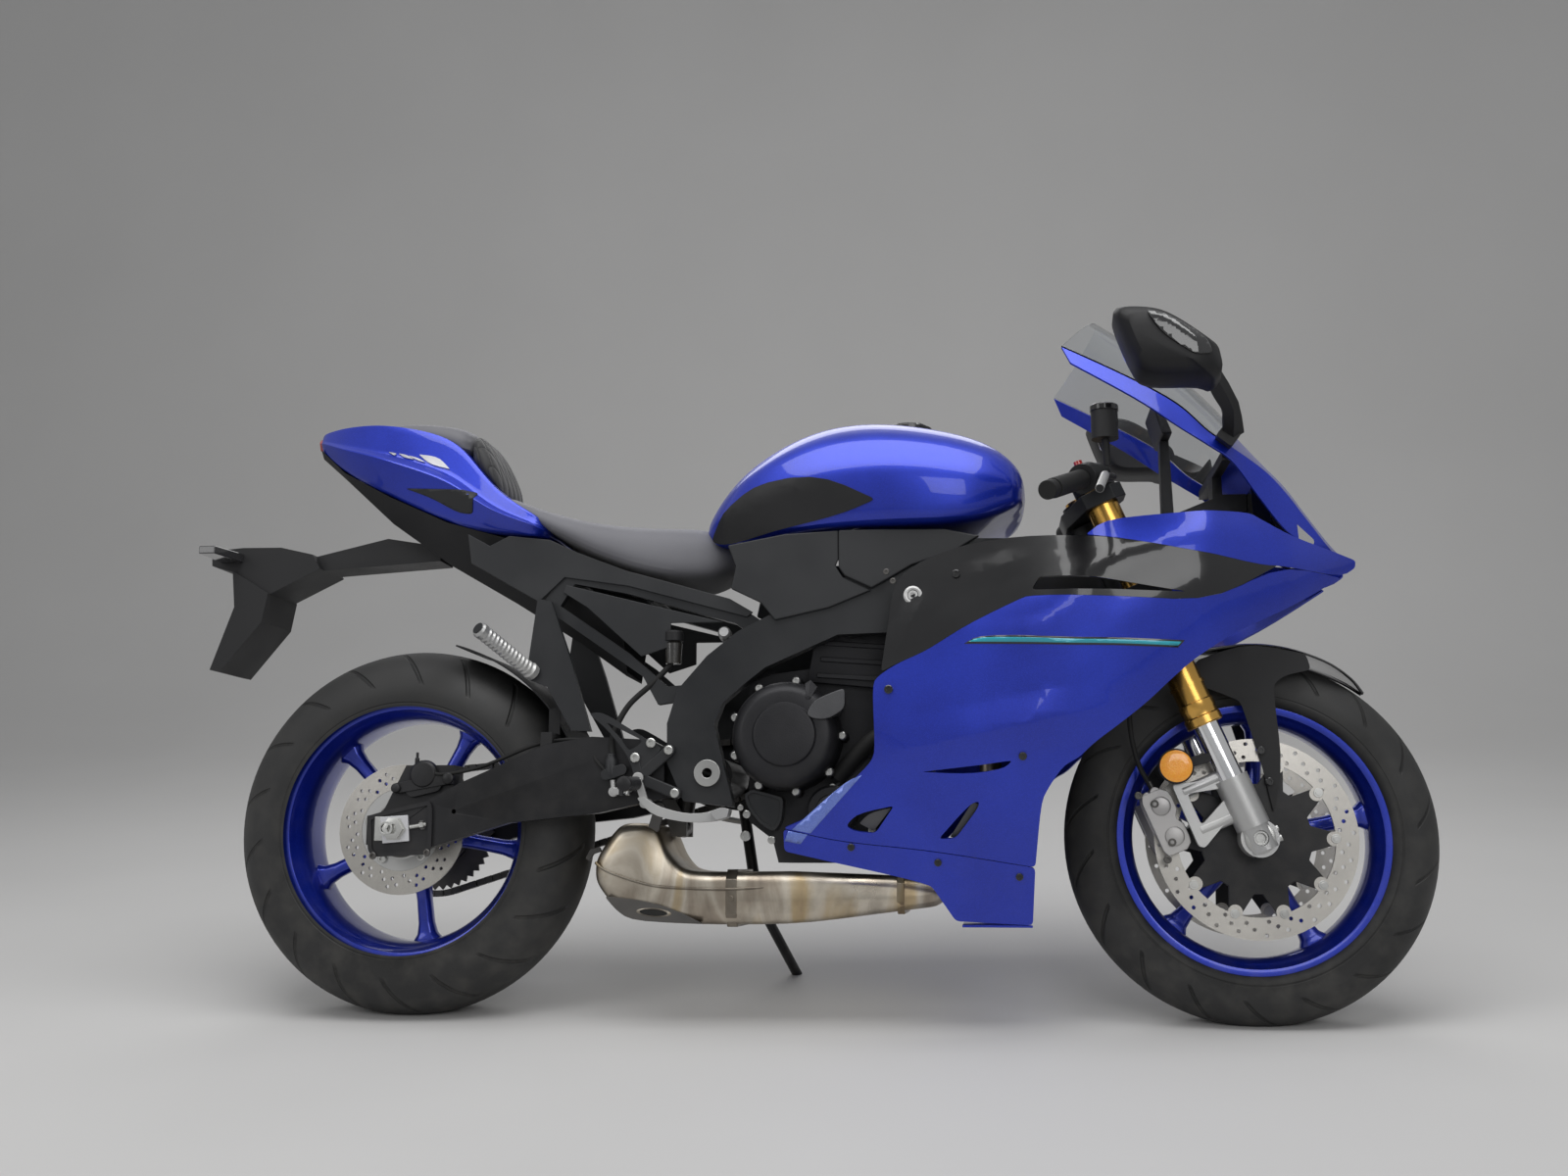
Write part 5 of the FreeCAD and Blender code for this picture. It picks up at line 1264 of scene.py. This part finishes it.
def reflectorPieces():
    x, z = reflector
    discs = []
    backs = []
    for side in (-1, 1):
        spot = Vector((x, side * 118, z))
        discs.append(lathe(((1.5, 0), (1.5, 25.5), (6.6, 25.5), (7.6, 24), (7.9, 12), (7.9, 0)), spot,
                           (0, side, 0), 48))
        backs.append(lathe(((0, 0), (0, 28), (6, 28), (7, 27), (7, 26), (1, 26), (1, 0)), spot, (0, side, 0),
                           48))
        backs.append(plate(capsule(reflector, (x + 48, z + 13), 8), side * 119.5, side * 116))
    addPiece(join(discs), "reflectors", "steering", "amber_lens", "amberLens", ("reflectors",), smooth=40)
    addPiece(join(backs), "reflectorBacks", "steering", "black_matte", "blackPlastic", smooth=40, edge=0.5,
             angle=50)


def controlPieces():
    blades = []
    for side in (-1, 1):
        path = [(1187, side * 247, 863), (1184, side * 290, 854), (1172, side * 338, 822.5)]
        blades.append(tube(path, 6.8, 12))
        blades.append(drum((1197, side * 155, 948), (1197, side * 155, 951), 10, 6))
    addPiece(join(blades), "leverBlades", "steering", "cast_silver", "castSilver", smooth=50)
    caps = [lathe(((0, 0), (0, 23.4), (9, 23.4), (11, 21), (11, 0)), (1197, -155, 995), (0, 0, 1), 32)]
    addPiece(join(caps), "reservoirCap", "steering", "black_gloss", "blackGloss", edge=0.8)
    bar = Vector((1099, -346, 822)) - Vector((1196, -128, 900))
    pod = Vector((1196, -128, 900)) + bar * 0.37
    switch = [drum(pod + Vector((-10, 0, 20)), pod + Vector((-12, 0, 27)), 7, 20)]
    addPiece(join(switch), "stopSwitch", "steering", "red_lens", "lensRed", smooth=30)


def fenderPieces():
    lines = []
    for share, lower in ((-1, 3.0), (-0.85, 0.0), (-0.4, 0), (0, 0), (0.4, 0), (0.85, 0.0), (1, 3.0)):
        line = []
        for index, (angle, reach) in enumerate(front["crown"]):
            width = (78, 78, 78, 74, 60, 34, 6)[index]
            line.append(wheelTurn(angle, reach - lower, share * width))
        lines.append(line)
    crown = outwards(sheetThrough(lines, 24, 40), (0, 0, 1))
    addPiece(crown, "fenderCrown", "steering", "black_gloss", "blackGloss", ("front_fender",), smooth=50,
             wall=3.2, offset=1.0, edge=1.0, angle=50)
    legs = []
    for side in (-1, 1):
        sheet = cutSheet(front["leg"], (), 8.0, 24.0)
        for vert in sheet.verts:
            # a fold runs down the middle of each leg
            fold = max(0.0, 1 - abs(vert.co.x - (1462 - (vert.co.z - 341) * 0.16)) / 26)
            vert.co.y = side * (79.5 + 3.0 * fold)
        legs.append(outwards(sheet, (0, side, 0)))
    addPiece(join(legs), "fenderLegs", "steering", "black_matte", "blackPlastic", smooth=40, wall=4.0,
             offset=0.0, edge=1.2, angle=50)
    boltSet("fenderBolts", "steering", "blackGloss", front["bolts"])


enginePieces()
exhaustPieces()
footPieces()
armPieces()
caliperPieces()
reflectorPieces()
controlPieces()
fenderPieces()
print("running gear ready")


# Bodywork

fairing = {
    "soften": 20.0,
    # x, low z, high z, half widths at five even heights
    "rows": ((640, 255, 600, (140, 172, 190, 198, 196)), (820, 215, 740, (135, 185, 218, 226, 204)),
             (960, 160, 790, (112, 186, 228, 244, 206)), (1070, 150, 800, (104, 180, 226, 250, 204)),
             (1200, 440, 830, (196, 226, 244, 250, 200)), (1350, 570, 850, (180, 206, 222, 214, 178)),
             (1480, 640, 850, (112, 138, 150, 138, 110)), (1610, 735, 790, (30, 40, 46, 40, 30))),
    "side": ((1464, 731), (1348, 666), (1068, 677), (1050, 671), (964, 629), (902, 591), (856, 573),
             (824, 553), (816, 539), (819, 446), (815, 422), (783, 392), (721, 338), (667, 316.3),
             (751, 296.3), (905, 281.3), (1067, 255.3), (1077, 354), (1087, 375), (1112, 412), (1137, 424),
             (1159, 446), (1196, 473), (1241, 507), (1288, 551), (1326, 583), (1400, 629), (1487, 670),
             (1579, 726)),
    "frontVent": ((916, 299), (967, 354), (981, 357), (979, 346), (943, 300)),
    "rearVent": ((769, 320), (787, 339), (847, 351), (816, 308), (782, 311)),
    "slot": ((891, 403), (983, 413), (1034, 420), (1021, 407), (968, 399)),
    "black": ((879, 733), (950, 763), (1053, 779), (1158.7, 776), (1297, 750.7), (1431, 728.7), (1462, 731.3),
              (1348, 666.3), (1068, 677.3), (1050, 671.3), (964, 629.3), (902, 591.3), (856, 573.3),
              (830, 560), (842, 635), (850, 700)),
    "airGap": ((1069, 686), (1082, 708), (1143, 707), (1219, 694), (1309, 680)),
    "arm": ((1160, 779), (1191, 802), (1346, 816), (1421, 819), (1436, 810), (1482, 785), (1560, 768),
            (1606, 757), (1606, 745), (1579, 727), (1464, 731.3), (1431, 729), (1297, 751), (1159, 776.3)),
    "belly": ((667, 280), (748, 262), (864, 237), (903, 225), (940, 170), (1062, 164), (1067, 254),
              (905, 280), (751, 295), (667, 315)),
    "stripe": ((969, 604), (987, 612), (1140, 606), (1300, 603), (1294, 597), (1130, 600)),
    "stripeEdge": ((962, 601), (987, 615), (1140, 609), (1305, 605.5), (1294, 594), (1130, 597)),
    "creases": (((815, 425), (1190, 505), 7, 45), ((902, 684), (851, 580), 3, 30),
                ((966, 709), (1062, 741), 2, 25)),
    "bolts": ((842, 532, 7), (1050, 426, 6.5), (776, 286, 6), (914, 262, 6), (1042, 240, 6), (951, 716, 6.5)),
    "inserts": (((934, 302), (948, 302), (984, 352), (970, 356)),
                ((790, 324), (812, 312), (842, 348), (806, 340))),
    "smallBolts": ((839, 724, 5), (850, 708, 5)),
    "slantUpper": ((681, 314), (769, 389), (797, 399), (711, 308)),
    "slantLower": ((675, 312), (668, 296), (694, 291), (706, 306)),
}


def rawWidth(x, z):
    rows = fairing["rows"]
    index = 0
    while index < len(rows) - 2 and x > rows[index + 1][0]:
        index += 1
    first, second = rows[index], rows[index + 1]
    t = min(max((x - first[0]) / (second[0] - first[0]), 0.0), 1.0)
    low = first[1] + (second[1] - first[1]) * t
    high = first[2] + (second[2] - first[2]) * t
    at = min(max((z - low) / (high - low), 0.0), 1.0) * 4
    level = min(int(at), 3)
    inner = first[3][level] + (second[3][level] - first[3][level]) * t
    outer = first[3][level + 1] + (second[3][level + 1] - first[3][level + 1]) * t
    return inner + (outer - inner) * (at - level)


def creaseRise(x, z):
    # how far the sharp folds of the skin stand out at a place
    rise = 0.0
    for first, second, height, reach in fairing["creases"]:
        run = Vector((second[0] - first[0], second[1] - first[1]))
        share = min(max((Vector((x - first[0], z - first[1]))).dot(run) / run.length_squared, 0.0), 1.0)
        gap = (Vector((x - first[0], z - first[1])) - run * share).length
        fade = min(share / 0.25, (1 - share) / 0.25, 1.0)
        rise += height * fade * max(0.0, 1 - gap / reach)
    return rise


def skinWidth(x, z):
    # the folds between the table's rows are rounded by a weighted mean
    total = 0.0
    weight = 0.0
    for column in (-2, -1, 0, 1, 2):
        for row in (-1, 0, 1):
            share = (3 - abs(column)) * (2 - abs(row))
            total += share * rawWidth(x + column * fairing["soften"] / 2, z + row * fairing["soften"] / 2)
            weight += share
    return total / weight + creaseRise(x, z)


def skinPanel(outline, holes=(), lift=0.0, reach=7.0):
    # a sheet of that outline laid on the right side of the skin
    bm = cutSheet(outline, holes, reach)
    for first, second, _, wide in fairing["creases"]:
        across = Vector((second[1] - first[1], 0, first[0] - second[0])).normalized()
        for away in (-wide, 0, wide):
            place = Vector((first[0], 0, first[1])) + across * away
            cutThrough(bm, place, across, 0.3)
    for vert in bm.verts:
        vert.co.y = -skinWidth(vert.co.x, vert.co.z) - lift
    outsideOut(bm)
    side = sum(face.normal.y * face.calc_area() for face in bm.faces)
    if side > 0:
        bmesh.ops.reverse_faces(bm, faces=bm.faces)
    return bm


def fairingPieces():
    vents = (fairing["frontVent"], fairing["rearVent"], fairing["slot"])
    for side in ("Right", "Left"):
        bm = skinPanel(fairing["side"], vents)
        if side == "Left":
            bmesh.ops.scale(bm, vec=(1, -1, 1), verts=bm.verts)
            bmesh.ops.reverse_faces(bm, faces=bm.faces)
        addPanel(bm, "sideFairing" + side, "blue_paint", "bluePaint", ("side_fairing_" + side.lower(),))
    bm = bothSides(skinPanel(fairing["black"], (fairing["airGap"],)))
    addPanel(bm, "blackPanels", "black_gloss", "blackGloss", ("black_panels",))
    bm = bothSides(skinPanel(fairing["belly"]))
    floor = plate([(950, 160), (1062, 160), (1062, 164), (950, 164)], -108, 108)
    addPanel(bm, "bellyPan", "blue_plastic", "bluePaint", ("belly_pan",), edge=1.2)
    addPiece(floor, "bellyFloor", "chassis", "blue_plastic", "bluePaint", edge=1.0)
    for key, material in (("bolts", "blackGloss"), ("smallBolts", "darkSteel")):
        spots = [(x, -skinWidth(x, z) - 0.5, z, radius) for x, z, radius in fairing[key]]
        boltSet("fairing" + key[0].upper() + key[1:], "chassis", material, spots)
    inserts = join([skinPanel(outline, (), -11, reach=2.0) for outline in fairing["inserts"]])
    addPanel(bothSides(inserts), "ventInserts", "cast_silver", "castGrey", wall=3.0,
             edge=0.8)
    spot = Vector((882, -skinWidth(882, 683), 683))
    ring = lathe(((-1, 9), (1.6, 9), (2.2, 12), (1.0, 15), (-1, 15)), spot, rightWay, 28)
    head = lathe(((-1, 0), (-1, 8), (1.2, 8), (1.2, 4), (-0.4, 3.6), (-0.4, 0)), spot, rightWay, 28)
    addPiece(bothSides(join([ring, head])), "panelFasteners", "chassis", "cast_silver", "castSilver",
             smooth=30)
    for name, outline, material, lift in (("stripe", "stripe", "turquoise", 0.9),
                                          ("stripeEdge", "stripeEdge", "blackGloss", 0.4),
                                          ("slantStripeUpper", "slantUpper", "paleBlue", 0.5),
                                          ("slantStripeLower", "slantLower", "paleBlue", 0.5)):
        bm = bothSides(skinPanel(fairing[outline], (), lift, reach=1.0))
        addPiece(bm, name, "chassis", "blue_paint", material, smooth=50, wall=0.4)


cowl = {
    "edge": ((1131, 150, 1111), (1237, 152, 1054), (1314, 151, 1006), (1364, 148, 958), (1400, 145, 932),
             (1451, 130, 896), (1487, 110, 863), (1523, 90, 820), (1562, 70, 773), (1600, 20, 752)),
    "foot": ((1145, 160, 1079), (1251, 162, 1012), (1314, 160, 966), (1363, 157, 933), (1400, 153, 905),
             (1441, 136, 850), (1482, 116, 800), (1512, 98, 782), (1546, 76, 769), (1598, 22, 748)),
    "nose": ((1432, 0, 980), (1474, 0, 928), (1508, 0, 889), (1541, 0, 839), (1577, 0, 787), (1604, 0, 754)),
    "lampSlot": ((1462, 846), (1474, 842), (1532, 782), (1528, 768), (1478, 796), (1464, 822)),
    "screen": ((1200, 1192), (1280, 1136), (1338, 1088), (1388, 1036), (1432, 981.5)),
}


def flip(points):
    return [(x, -y, z) for x, y, z in points]


def cowlPieces():
    arm = bothSides(skinPanel(fairing["arm"]))
    addPanel(arm, "cowlArms", "blue_paint", "bluePaint", ("upper_cowl",))
    right = outwards(sheetThrough([flip(cowl["edge"]), flip(cowl["foot"])], 4, 48), rightWay)
    addPanel(bothSides(right), "cowlBands", "blue_paint", "bluePaint", edge=1.2)
    edge = cowl["edge"][4:]
    middle = [((x + cx) / 2, y / 2, (z + cz) / 2 + 6) for (x, y, z), (cx, _, cz) in zip(edge, cowl["nose"])]
    lines = [edge, middle, cowl["nose"], flip(middle), flip(edge)]
    nose = outwards(sheetThrough(lines, 24, 30), (1, 0, 1))
    addPanel(nose, "noseCowl", "blue_paint", "bluePaint", edge=1.2)
    lamp = bothSides(drape(cowl["lampSlot"], bpy.data.objects["noseCowl"], 1.2, 5.0))
    addPanel(lamp, "lampSlots", "lamp_lens", "lensDark", wall=2.0, offset=0.0, edge=0.6)
    tip = plate([(1556, 746), (1603, 749), (1603, 754), (1556, 782)], -42, 42)
    addPiece(tip, "noseTip", "chassis", "blue_paint", "bluePaint", edge=1.5)
    top = [(x, y, z + 1) for x, y, z in cowl["edge"][:5]]
    centre = [(x, 0, z) for x, z in cowl["screen"]]
    bow = [(x + (cx - x) * 0.7, y * 0.55, z + (cz - z) * 0.72)
           for (x, y, z), (cx, cz) in zip(top, cowl["screen"])]
    lines = [top, bow, centre, flip(bow), flip(top)]
    screen = outwards(sheetThrough(lines, 32, 28), (1, 0, 1))
    addPiece(screen, "windscreen", "chassis", "clear_screen", "clearScreen", ("windscreen",), smooth=60,
             wall=3.0, offset=-0.2, edge=0.8, angle=50)


def ringPoints(x, half):
    # a mirrored ring from half its points, given from the low middle to the high middle as y and z
    right = [(x, -y, z) for y, z in half if y > 0]
    left = [(x, y, z) for y, z in half if y > 0]
    low = [(x, 0, half[0][1])]
    high = [(x, 0, half[-1][1])]
    return low + left + high + list(reversed(right))


tank = {
    "capX": 868,
    # x, low, high, half widths at the foot, the belly, the shoulder and the crown
    "rows": ((512, 802, 842, 60, 70, 54, 32), (560, 796, 914, 104, 122, 100, 62),
             (610, 799, 958, 124, 142, 120, 74), (680, 808, 998, 148, 162, 138, 86),
             (760, 812, 1018, 166, 182, 152, 98), (850, 812, 1014, 180, 196, 164, 108),
             (930, 812, 998, 182, 192, 160, 108), (985, 818, 982, 168, 176, 146, 104),
             (1030, 836, 958, 138, 150, 128, 98), (1071, 858, 908, 118, 126, 112, 96)),
    "pad": ((531, 807), (561, 854), (619, 895), (728, 898), (821, 851), (761, 829), (645, 810), (561, 793)),
}


def tankWidth(x, z):
    # half width of the tank's side at a place, from its table
    rows = tank["rows"]
    index = 0
    while index < len(rows) - 2 and x > rows[index + 1][0]:
        index += 1
    first, second = rows[index], rows[index + 1]
    t = min(max((x - first[0]) / (second[0] - first[0]), 0.0), 1.0)
    low, high, foot, belly, shoulder, crown = [a + (b - a) * t for a, b in zip(first[1:], second[1:])]
    share = min(max((z - low) / (high - low), 0.0), 1.0)
    stops = ((0.0, foot), (0.42, belly), (0.78, shoulder), (1.0, crown))
    for (a, wide), (b, narrow) in zip(stops, stops[1:]):
        if share <= b:
            return wide + (narrow - wide) * (share - a) / (b - a)
    return crown


def tankPieces():
    rings = []
    for x, low, high, foot, belly, shoulder, crown in tank["rows"]:
        rise = high - low
        rings.append(ringPoints(x, ((0, low), (foot * 0.6, low), (foot, low), (belly, low + rise * 0.42),
                                    (shoulder, low + rise * 0.76), (crown, high - rise * 0.06),
                                    (crown * 0.55, high - rise * 0.012), (0, high))))
    bm = hull(rings)
    crease = bm.edges.layers.float.new("crease_edge")
    for edge in bm.edges:
        flat = abs(edge.verts[0].co.x - edge.verts[1].co.x) > 5
        side = abs(edge.verts[0].co.y)
        if flat and side > 110:
            edge[crease] = 0.3
    piece = addPiece(bm, "fuelTank", "chassis", "blue_paint", "bluePaint", ("fuel_tank",), smooth=60)
    subdivide(piece, 3)
    pad = cutSheet(tank["pad"], (), 10.0, 14.0)
    for vert in pad.verts:
        vert.co.y = -tankWidth(vert.co.x, vert.co.z) - 0.5
    outwards(pad, rightWay)
    addPiece(bothSides(pad), "tankPads", "chassis", "black_matte", "blackPlastic", smooth=60, wall=2.5,
             offset=0.0, edge=0.8, angle=50)
    x = tank["capX"]
    cap = join([drum((x, 0, 1002), (x, 0, 1018), 42, 48), drum((x, 0, 1018), (x, 0, 1023), 33, 48)])
    addPiece(cap, "fillerCap", "chassis", "black_gloss", "blackGloss", edge=2.0)
    bolts = []
    for index in range(6):
        turn = math.tau * index / 6
        spot = Vector((x + 37 * math.cos(turn), 37 * math.sin(turn), 1017))
        bolts.append(drum(spot, spot + Vector((0, 0, 4)), 3.4, 6))
    addPiece(join(bolts), "fillerCapBolts", "chassis", "steel", "steel")


tail = {
    # x, low, high, half widths at the foot, the waist and the crown
    "rows": ((-214, 1010, 1037, 18, 25, 16), (-190, 992, 1039, 34, 46, 34), (-150, 958, 1040, 50, 77, 58),
             (-100, 930, 1038, 68, 100, 78), (-49, 902, 1033, 84, 119, 93), (63, 850, 1009, 98, 135, 101),
             (108, 836, 960, 102, 138, 104), (150, 826, 906, 108, 139, 112), (205, 818, 868, 118, 140, 124),
             (257, 812, 837, 128, 140, 136)),
    "bars": (((-49, 979), (-32, 975), (-36, 971)), ((-29, 975), (-12, 971), (2, 962), (-16, 966)),
             ((-10, 970), (8, 965), (24, 955), (6, 961)), ((10, 971), (47, 965), (70, 941), (33, 951))),
    "shelf": ((-13, 911), (125, 895), (116, 858), (88, 862), (40, 890)),
}


def tailRings(rows):
    # the waist is a sharp fold, with a ledge above it
    rings = []
    for x, low, high, foot, waist, crown in rows:
        rise = high - low
        ledge = crown + (waist - crown) * 0.38
        rings.append(ringPoints(x,
                                ((0, low), (foot, low), (waist, low + rise * 0.45),
                                 (ledge, low + rise * 0.56), (crown, high - 1), (crown * 0.4, high),
                                 (0, high))))
    return hull(rings)


def drape(outline, target, lift, reach=3.0):
    # lays a flat sheet on the right side of a finished piece
    surface = BVHTree.FromObject(target, bpy.context.evaluated_depsgraph_get())
    parkBack = park.inverted()
    inwards = (park.to_3x3() @ Vector((0, 1, 0))).normalized()
    bm = cutSheet(outline, (), reach, 6.0)
    for vert in bm.verts:
        start = park @ Vector((vert.co.x, -400, vert.co.z))
        spot = surface.ray_cast(start, inwards)[0]
        vert.co.y = (parkBack @ spot).y - lift if spot else -100.0
    return outwards(bm, rightWay)


def tailPieces():
    bm = tailRings(tail["rows"])
    crease = bm.edges.layers.float.new("crease_edge")
    waists = {row[4] for row in tail["rows"]}
    for edge in bm.edges:
        runs = abs(edge.verts[0].co.x - edge.verts[1].co.x) > 5
        side = abs(edge.verts[0].co.y)
        if runs and side > 15:
            edge[crease] = 0.95 if any(abs(side - waist) < 0.5 for waist in waists) else 0.6
    piece = addPiece(bm, "tailCowl", "chassis", "blue_paint", "bluePaint", ("tail_cowl",), smooth=60)
    subdivide(piece, 3)
    bars = join([drape(outline, piece, 1.2) for outline in tail["bars"]])
    addPanel(bothSides(bars), "tailBars", "cast_silver", "silverTape", wall=2.4, offset=0.0, edge=0.5)
    addPiece(bothSides(drape(tail["shelf"], piece, 0.8, 5.0)), "tailShelf", "chassis", "black_matte",
             "panelGrey", smooth=50, wall=1.6, offset=0.0)


seats = {
    # x, edge height, top height, half width
    "rider": ((158, 880, 904, 90), (190, 860, 890, 108), (240, 832, 870, 124), (300, 798, 853, 133),
              (360, 768, 843, 134), (420, 746, 839, 129), (480, 734, 839, 114), (530, 740, 838, 90),
              (572, 762, 800, 60)),
    "passenger": ((-130, 1024, 1039, 50), (-80, 1016, 1043, 72), (-8, 1006, 1044, 87), (60, 988, 1036, 92),
                  (100, 970, 1024, 91)),
    "quilt": ((92, 968, 1027, 90), (118, 938, 1008, 88), (140, 915, 966, 84), (153, 903, 925, 78)),
}


def seatPiece(name, rows, material, replaces):
    rings = []
    for x, edge, top, half in rows:
        rise = top - edge
        rings.append(ringPoints(x,
                                ((0, edge), (half * 0.8, edge), (half, edge + rise * 0.12),
                                 (half * 1.01, edge + rise * 0.45), (half * 0.92, edge + rise * 0.8),
                                 (half * 0.6, top - rise * 0.04), (half * 0.3, top), (0, top - rise * 0.03))))
    piece = addPiece(hull(rings), name, "chassis", "seat_cover", material, replaces, smooth=60)
    subdivide(piece, 2)


def seatPieces():
    # both seats take the grey of painted sheen over their black covers
    seatPiece("riderSeat", seats["rider"], "seatGrey", ("rider_seat",))
    seatPiece("passengerSeat", seats["passenger"], "seatGrey", ("passenger_seat",))
    seatPiece("passengerPad", seats["quilt"], "seatQuilt", ())


mirror = {
    # the head's outline seen from the side, then how it shrinks outwards
    "outline": ((1201, 1097), (1209, 1107), (1232, 1109), (1272, 1104), (1302, 1088), (1342, 1057),
                (1362, 1039), (1368, 1004), (1354, 984), (1335, 994), (1262, 994), (1238, 1004),
                (1220, 1041)),
    "centre": (1286, 1048),
    "head": ((262, 0.84, 0), (270, 0.95, 0), (292, 1.0, 0), (346, 0.98, -4), (366, 0.85, -8),
             (377, 0.62, -14)),
    "neck": ((168, ((1383, 968), (1408, 974), (1418, 949), (1400, 938), (1384, 950))),
             (196, ((1380, 974), (1400, 985), (1411, 968), (1398, 953), (1381, 959))),
             (225, ((1372, 984), (1390, 1000), (1402, 984), (1394, 970), (1376, 970))),
             (252, ((1352, 1002), (1366, 1020), (1384, 1008), (1380, 988), (1360, 984))),
             (275, ((1338, 1010), (1350, 1032), (1366, 1028), (1366, 1002), (1350, 994)))),
    "lens": ((1246, 1092), (1296, 1076), (1338, 1042), (1344, 1020), (1318, 1016), (1268, 1052)),
}


def mirrorPieces():
    x, z = mirror["centre"]
    rings = []
    for y, share, back in mirror["head"]:
        rings.append([(x + (px - x) * share + back, -y, z + (pz - z) * share)
                      for px, pz in softOutline(mirror["outline"], 12.0)])
    neck = hull([[(px, -y, pz) for px, pz in points] for y, points in mirror["neck"]])
    base = plate(softOutline([(1409, 990), (1415, 950), (1396, 925), (1372, 945)], 5.0), -172, -150)
    head = addPiece(bothSides(hull(rings)), "mirrorHeads", "chassis", "black_gloss", "blackPlastic",
                    ("mirrors",), smooth=50, edge=3.0, segments=3, angle=50)
    addPiece(bothSides(join([neck, base])), "mirrorNecks", "chassis", "black_matte", "blackPlastic",
             smooth=50, edge=3.0, segments=3, angle=30)
    lens = bothSides(drape(mirror["lens"], head, 1.8, 10.0))
    addPiece(lens, "mirrorLamps", "chassis", "lamp_lens", "lensDark", smooth=60, wall=1.6, offset=0.0)
    glass = hull([[(1219, -y, 1096), (1213, -y, 1091), (1229, -y, 1044), (1246, -y, 1012), (1253, -y, 1014)]
                  for y in (272, 358)])
    moveBy(glass, (-7, 0, 0))
    addPiece(bothSides(glass), "mirrorGlass", "chassis", "chrome", "chrome", smooth=30, edge=1.0)


fairingPieces()
cowlPieces()
tankPieces()
tailPieces()
seatPieces()
mirrorPieces()
print("bodywork ready")


# Stage, light and camera

def stagePieces():
    bm = bmesh.new()
    cove = [(-5.0, 0.0), (2.4, 0.0), (3.4, 0.12), (4.0, 0.5), (4.2, 1.2), (4.2, 5.0)]
    verts = [bm.verts.new((-9, y, z)) for y, z in cove]
    edges = [bm.edges.new(pair) for pair in zip(verts, verts[1:])]
    grown = bmesh.ops.extrude_edge_only(bm, edges=edges)
    bmesh.ops.translate(bm, verts=vertsOf(grown), vec=(18, 0, 0))
    mesh = bpy.data.meshes.new("floor")
    bm.to_mesh(mesh)
    bm.free()
    mesh.shade_smooth()
    floor = newObject("floor", mesh)
    subdivide(floor, 3)
    material = bpy.data.materials.new("floorPaper")
    material.use_nodes = True
    tree = material.node_tree
    shader = tree.nodes["Principled BSDF"]
    place = addNode(tree, "TexCoord").outputs["Object"]
    tone = noiseNode(tree, place, 1.2, 3.0)
    feed(tree, shader.inputs, {"Base Color": mixColor(tree, tone, (0.56, 0.555, 0.55), (0.62, 0.615, 0.61)),
                               "Roughness": 0.7})
    mesh.materials.append(material)


def softLight(name, place, aim, width, height, power):
    data = bpy.data.lights.new(name, "AREA")
    data.shape = "RECTANGLE"
    data.size = width
    data.size_y = height
    data.energy = power
    lamp = newObject(name, data)
    lamp.location = place
    lamp.rotation_euler = (Vector(aim) - Vector(place)).to_track_quat("-Z", "Y").to_euler()


def worldLight():
    world = bpy.data.worlds.new("studio")
    bpy.context.scene.world = world
    world.use_nodes = True
    tree = world.node_tree
    tree.nodes.clear()
    # mirrors, glass and the camera see the sky a little brighter than the bike is lit by it
    rays = addNode(tree, "LightPath").outputs
    seen = mathNode(tree, "MAXIMUM", rays["Is Camera Ray"], rays["Is Glossy Ray"])
    seen = mathNode(tree, "MAXIMUM", seen, rays["Is Transmission Ray"])
    back = addNode(tree, "Background", {"Color": (0.98, 0.99, 1.0, 1),
                                        "Strength": rangeNode(tree, seen, 0, 1, 0.30, 0.42)})
    addNode(tree, "OutputWorld", {"Surface": back.outputs[0]})


camera = {"place": (0.32655, -2.82349, 0.77252), "turn": (89.01403, 1.23856, 7.04394), "lens": 36.5718}


def placeCamera():
    data = bpy.data.cameras.new("camera")
    data.lens = camera["lens"]
    data.sensor_width = 36.0
    shot = newObject("camera", data)
    shot.location = camera["place"]
    shot.rotation_euler = [math.radians(angle) for angle in camera["turn"]]
    bpy.context.scene.camera = shot


stagePieces()
softLight("overhead", (0.1, -0.7, 3.1), (0, 0, 0.5), 3.6, 1.6, 66)
softLight("frontFill", (1.6, -3.6, 2.3), (0, 0, 0.5), 2.2, 1.6, 30)
softLight("tailFill", (-2.4, -2.2, 1.8), (-0.3, 0, 0.5), 1.4, 1.4, 12)
softLight("backRim", (-0.4, 2.8, 2.6), (0, 0, 0.7), 3.0, 1.0, 20)
worldLight()
placeCamera()
bpy.context.scene.view_settings.view_transform = "Standard"
print("stage, lights and camera ready")
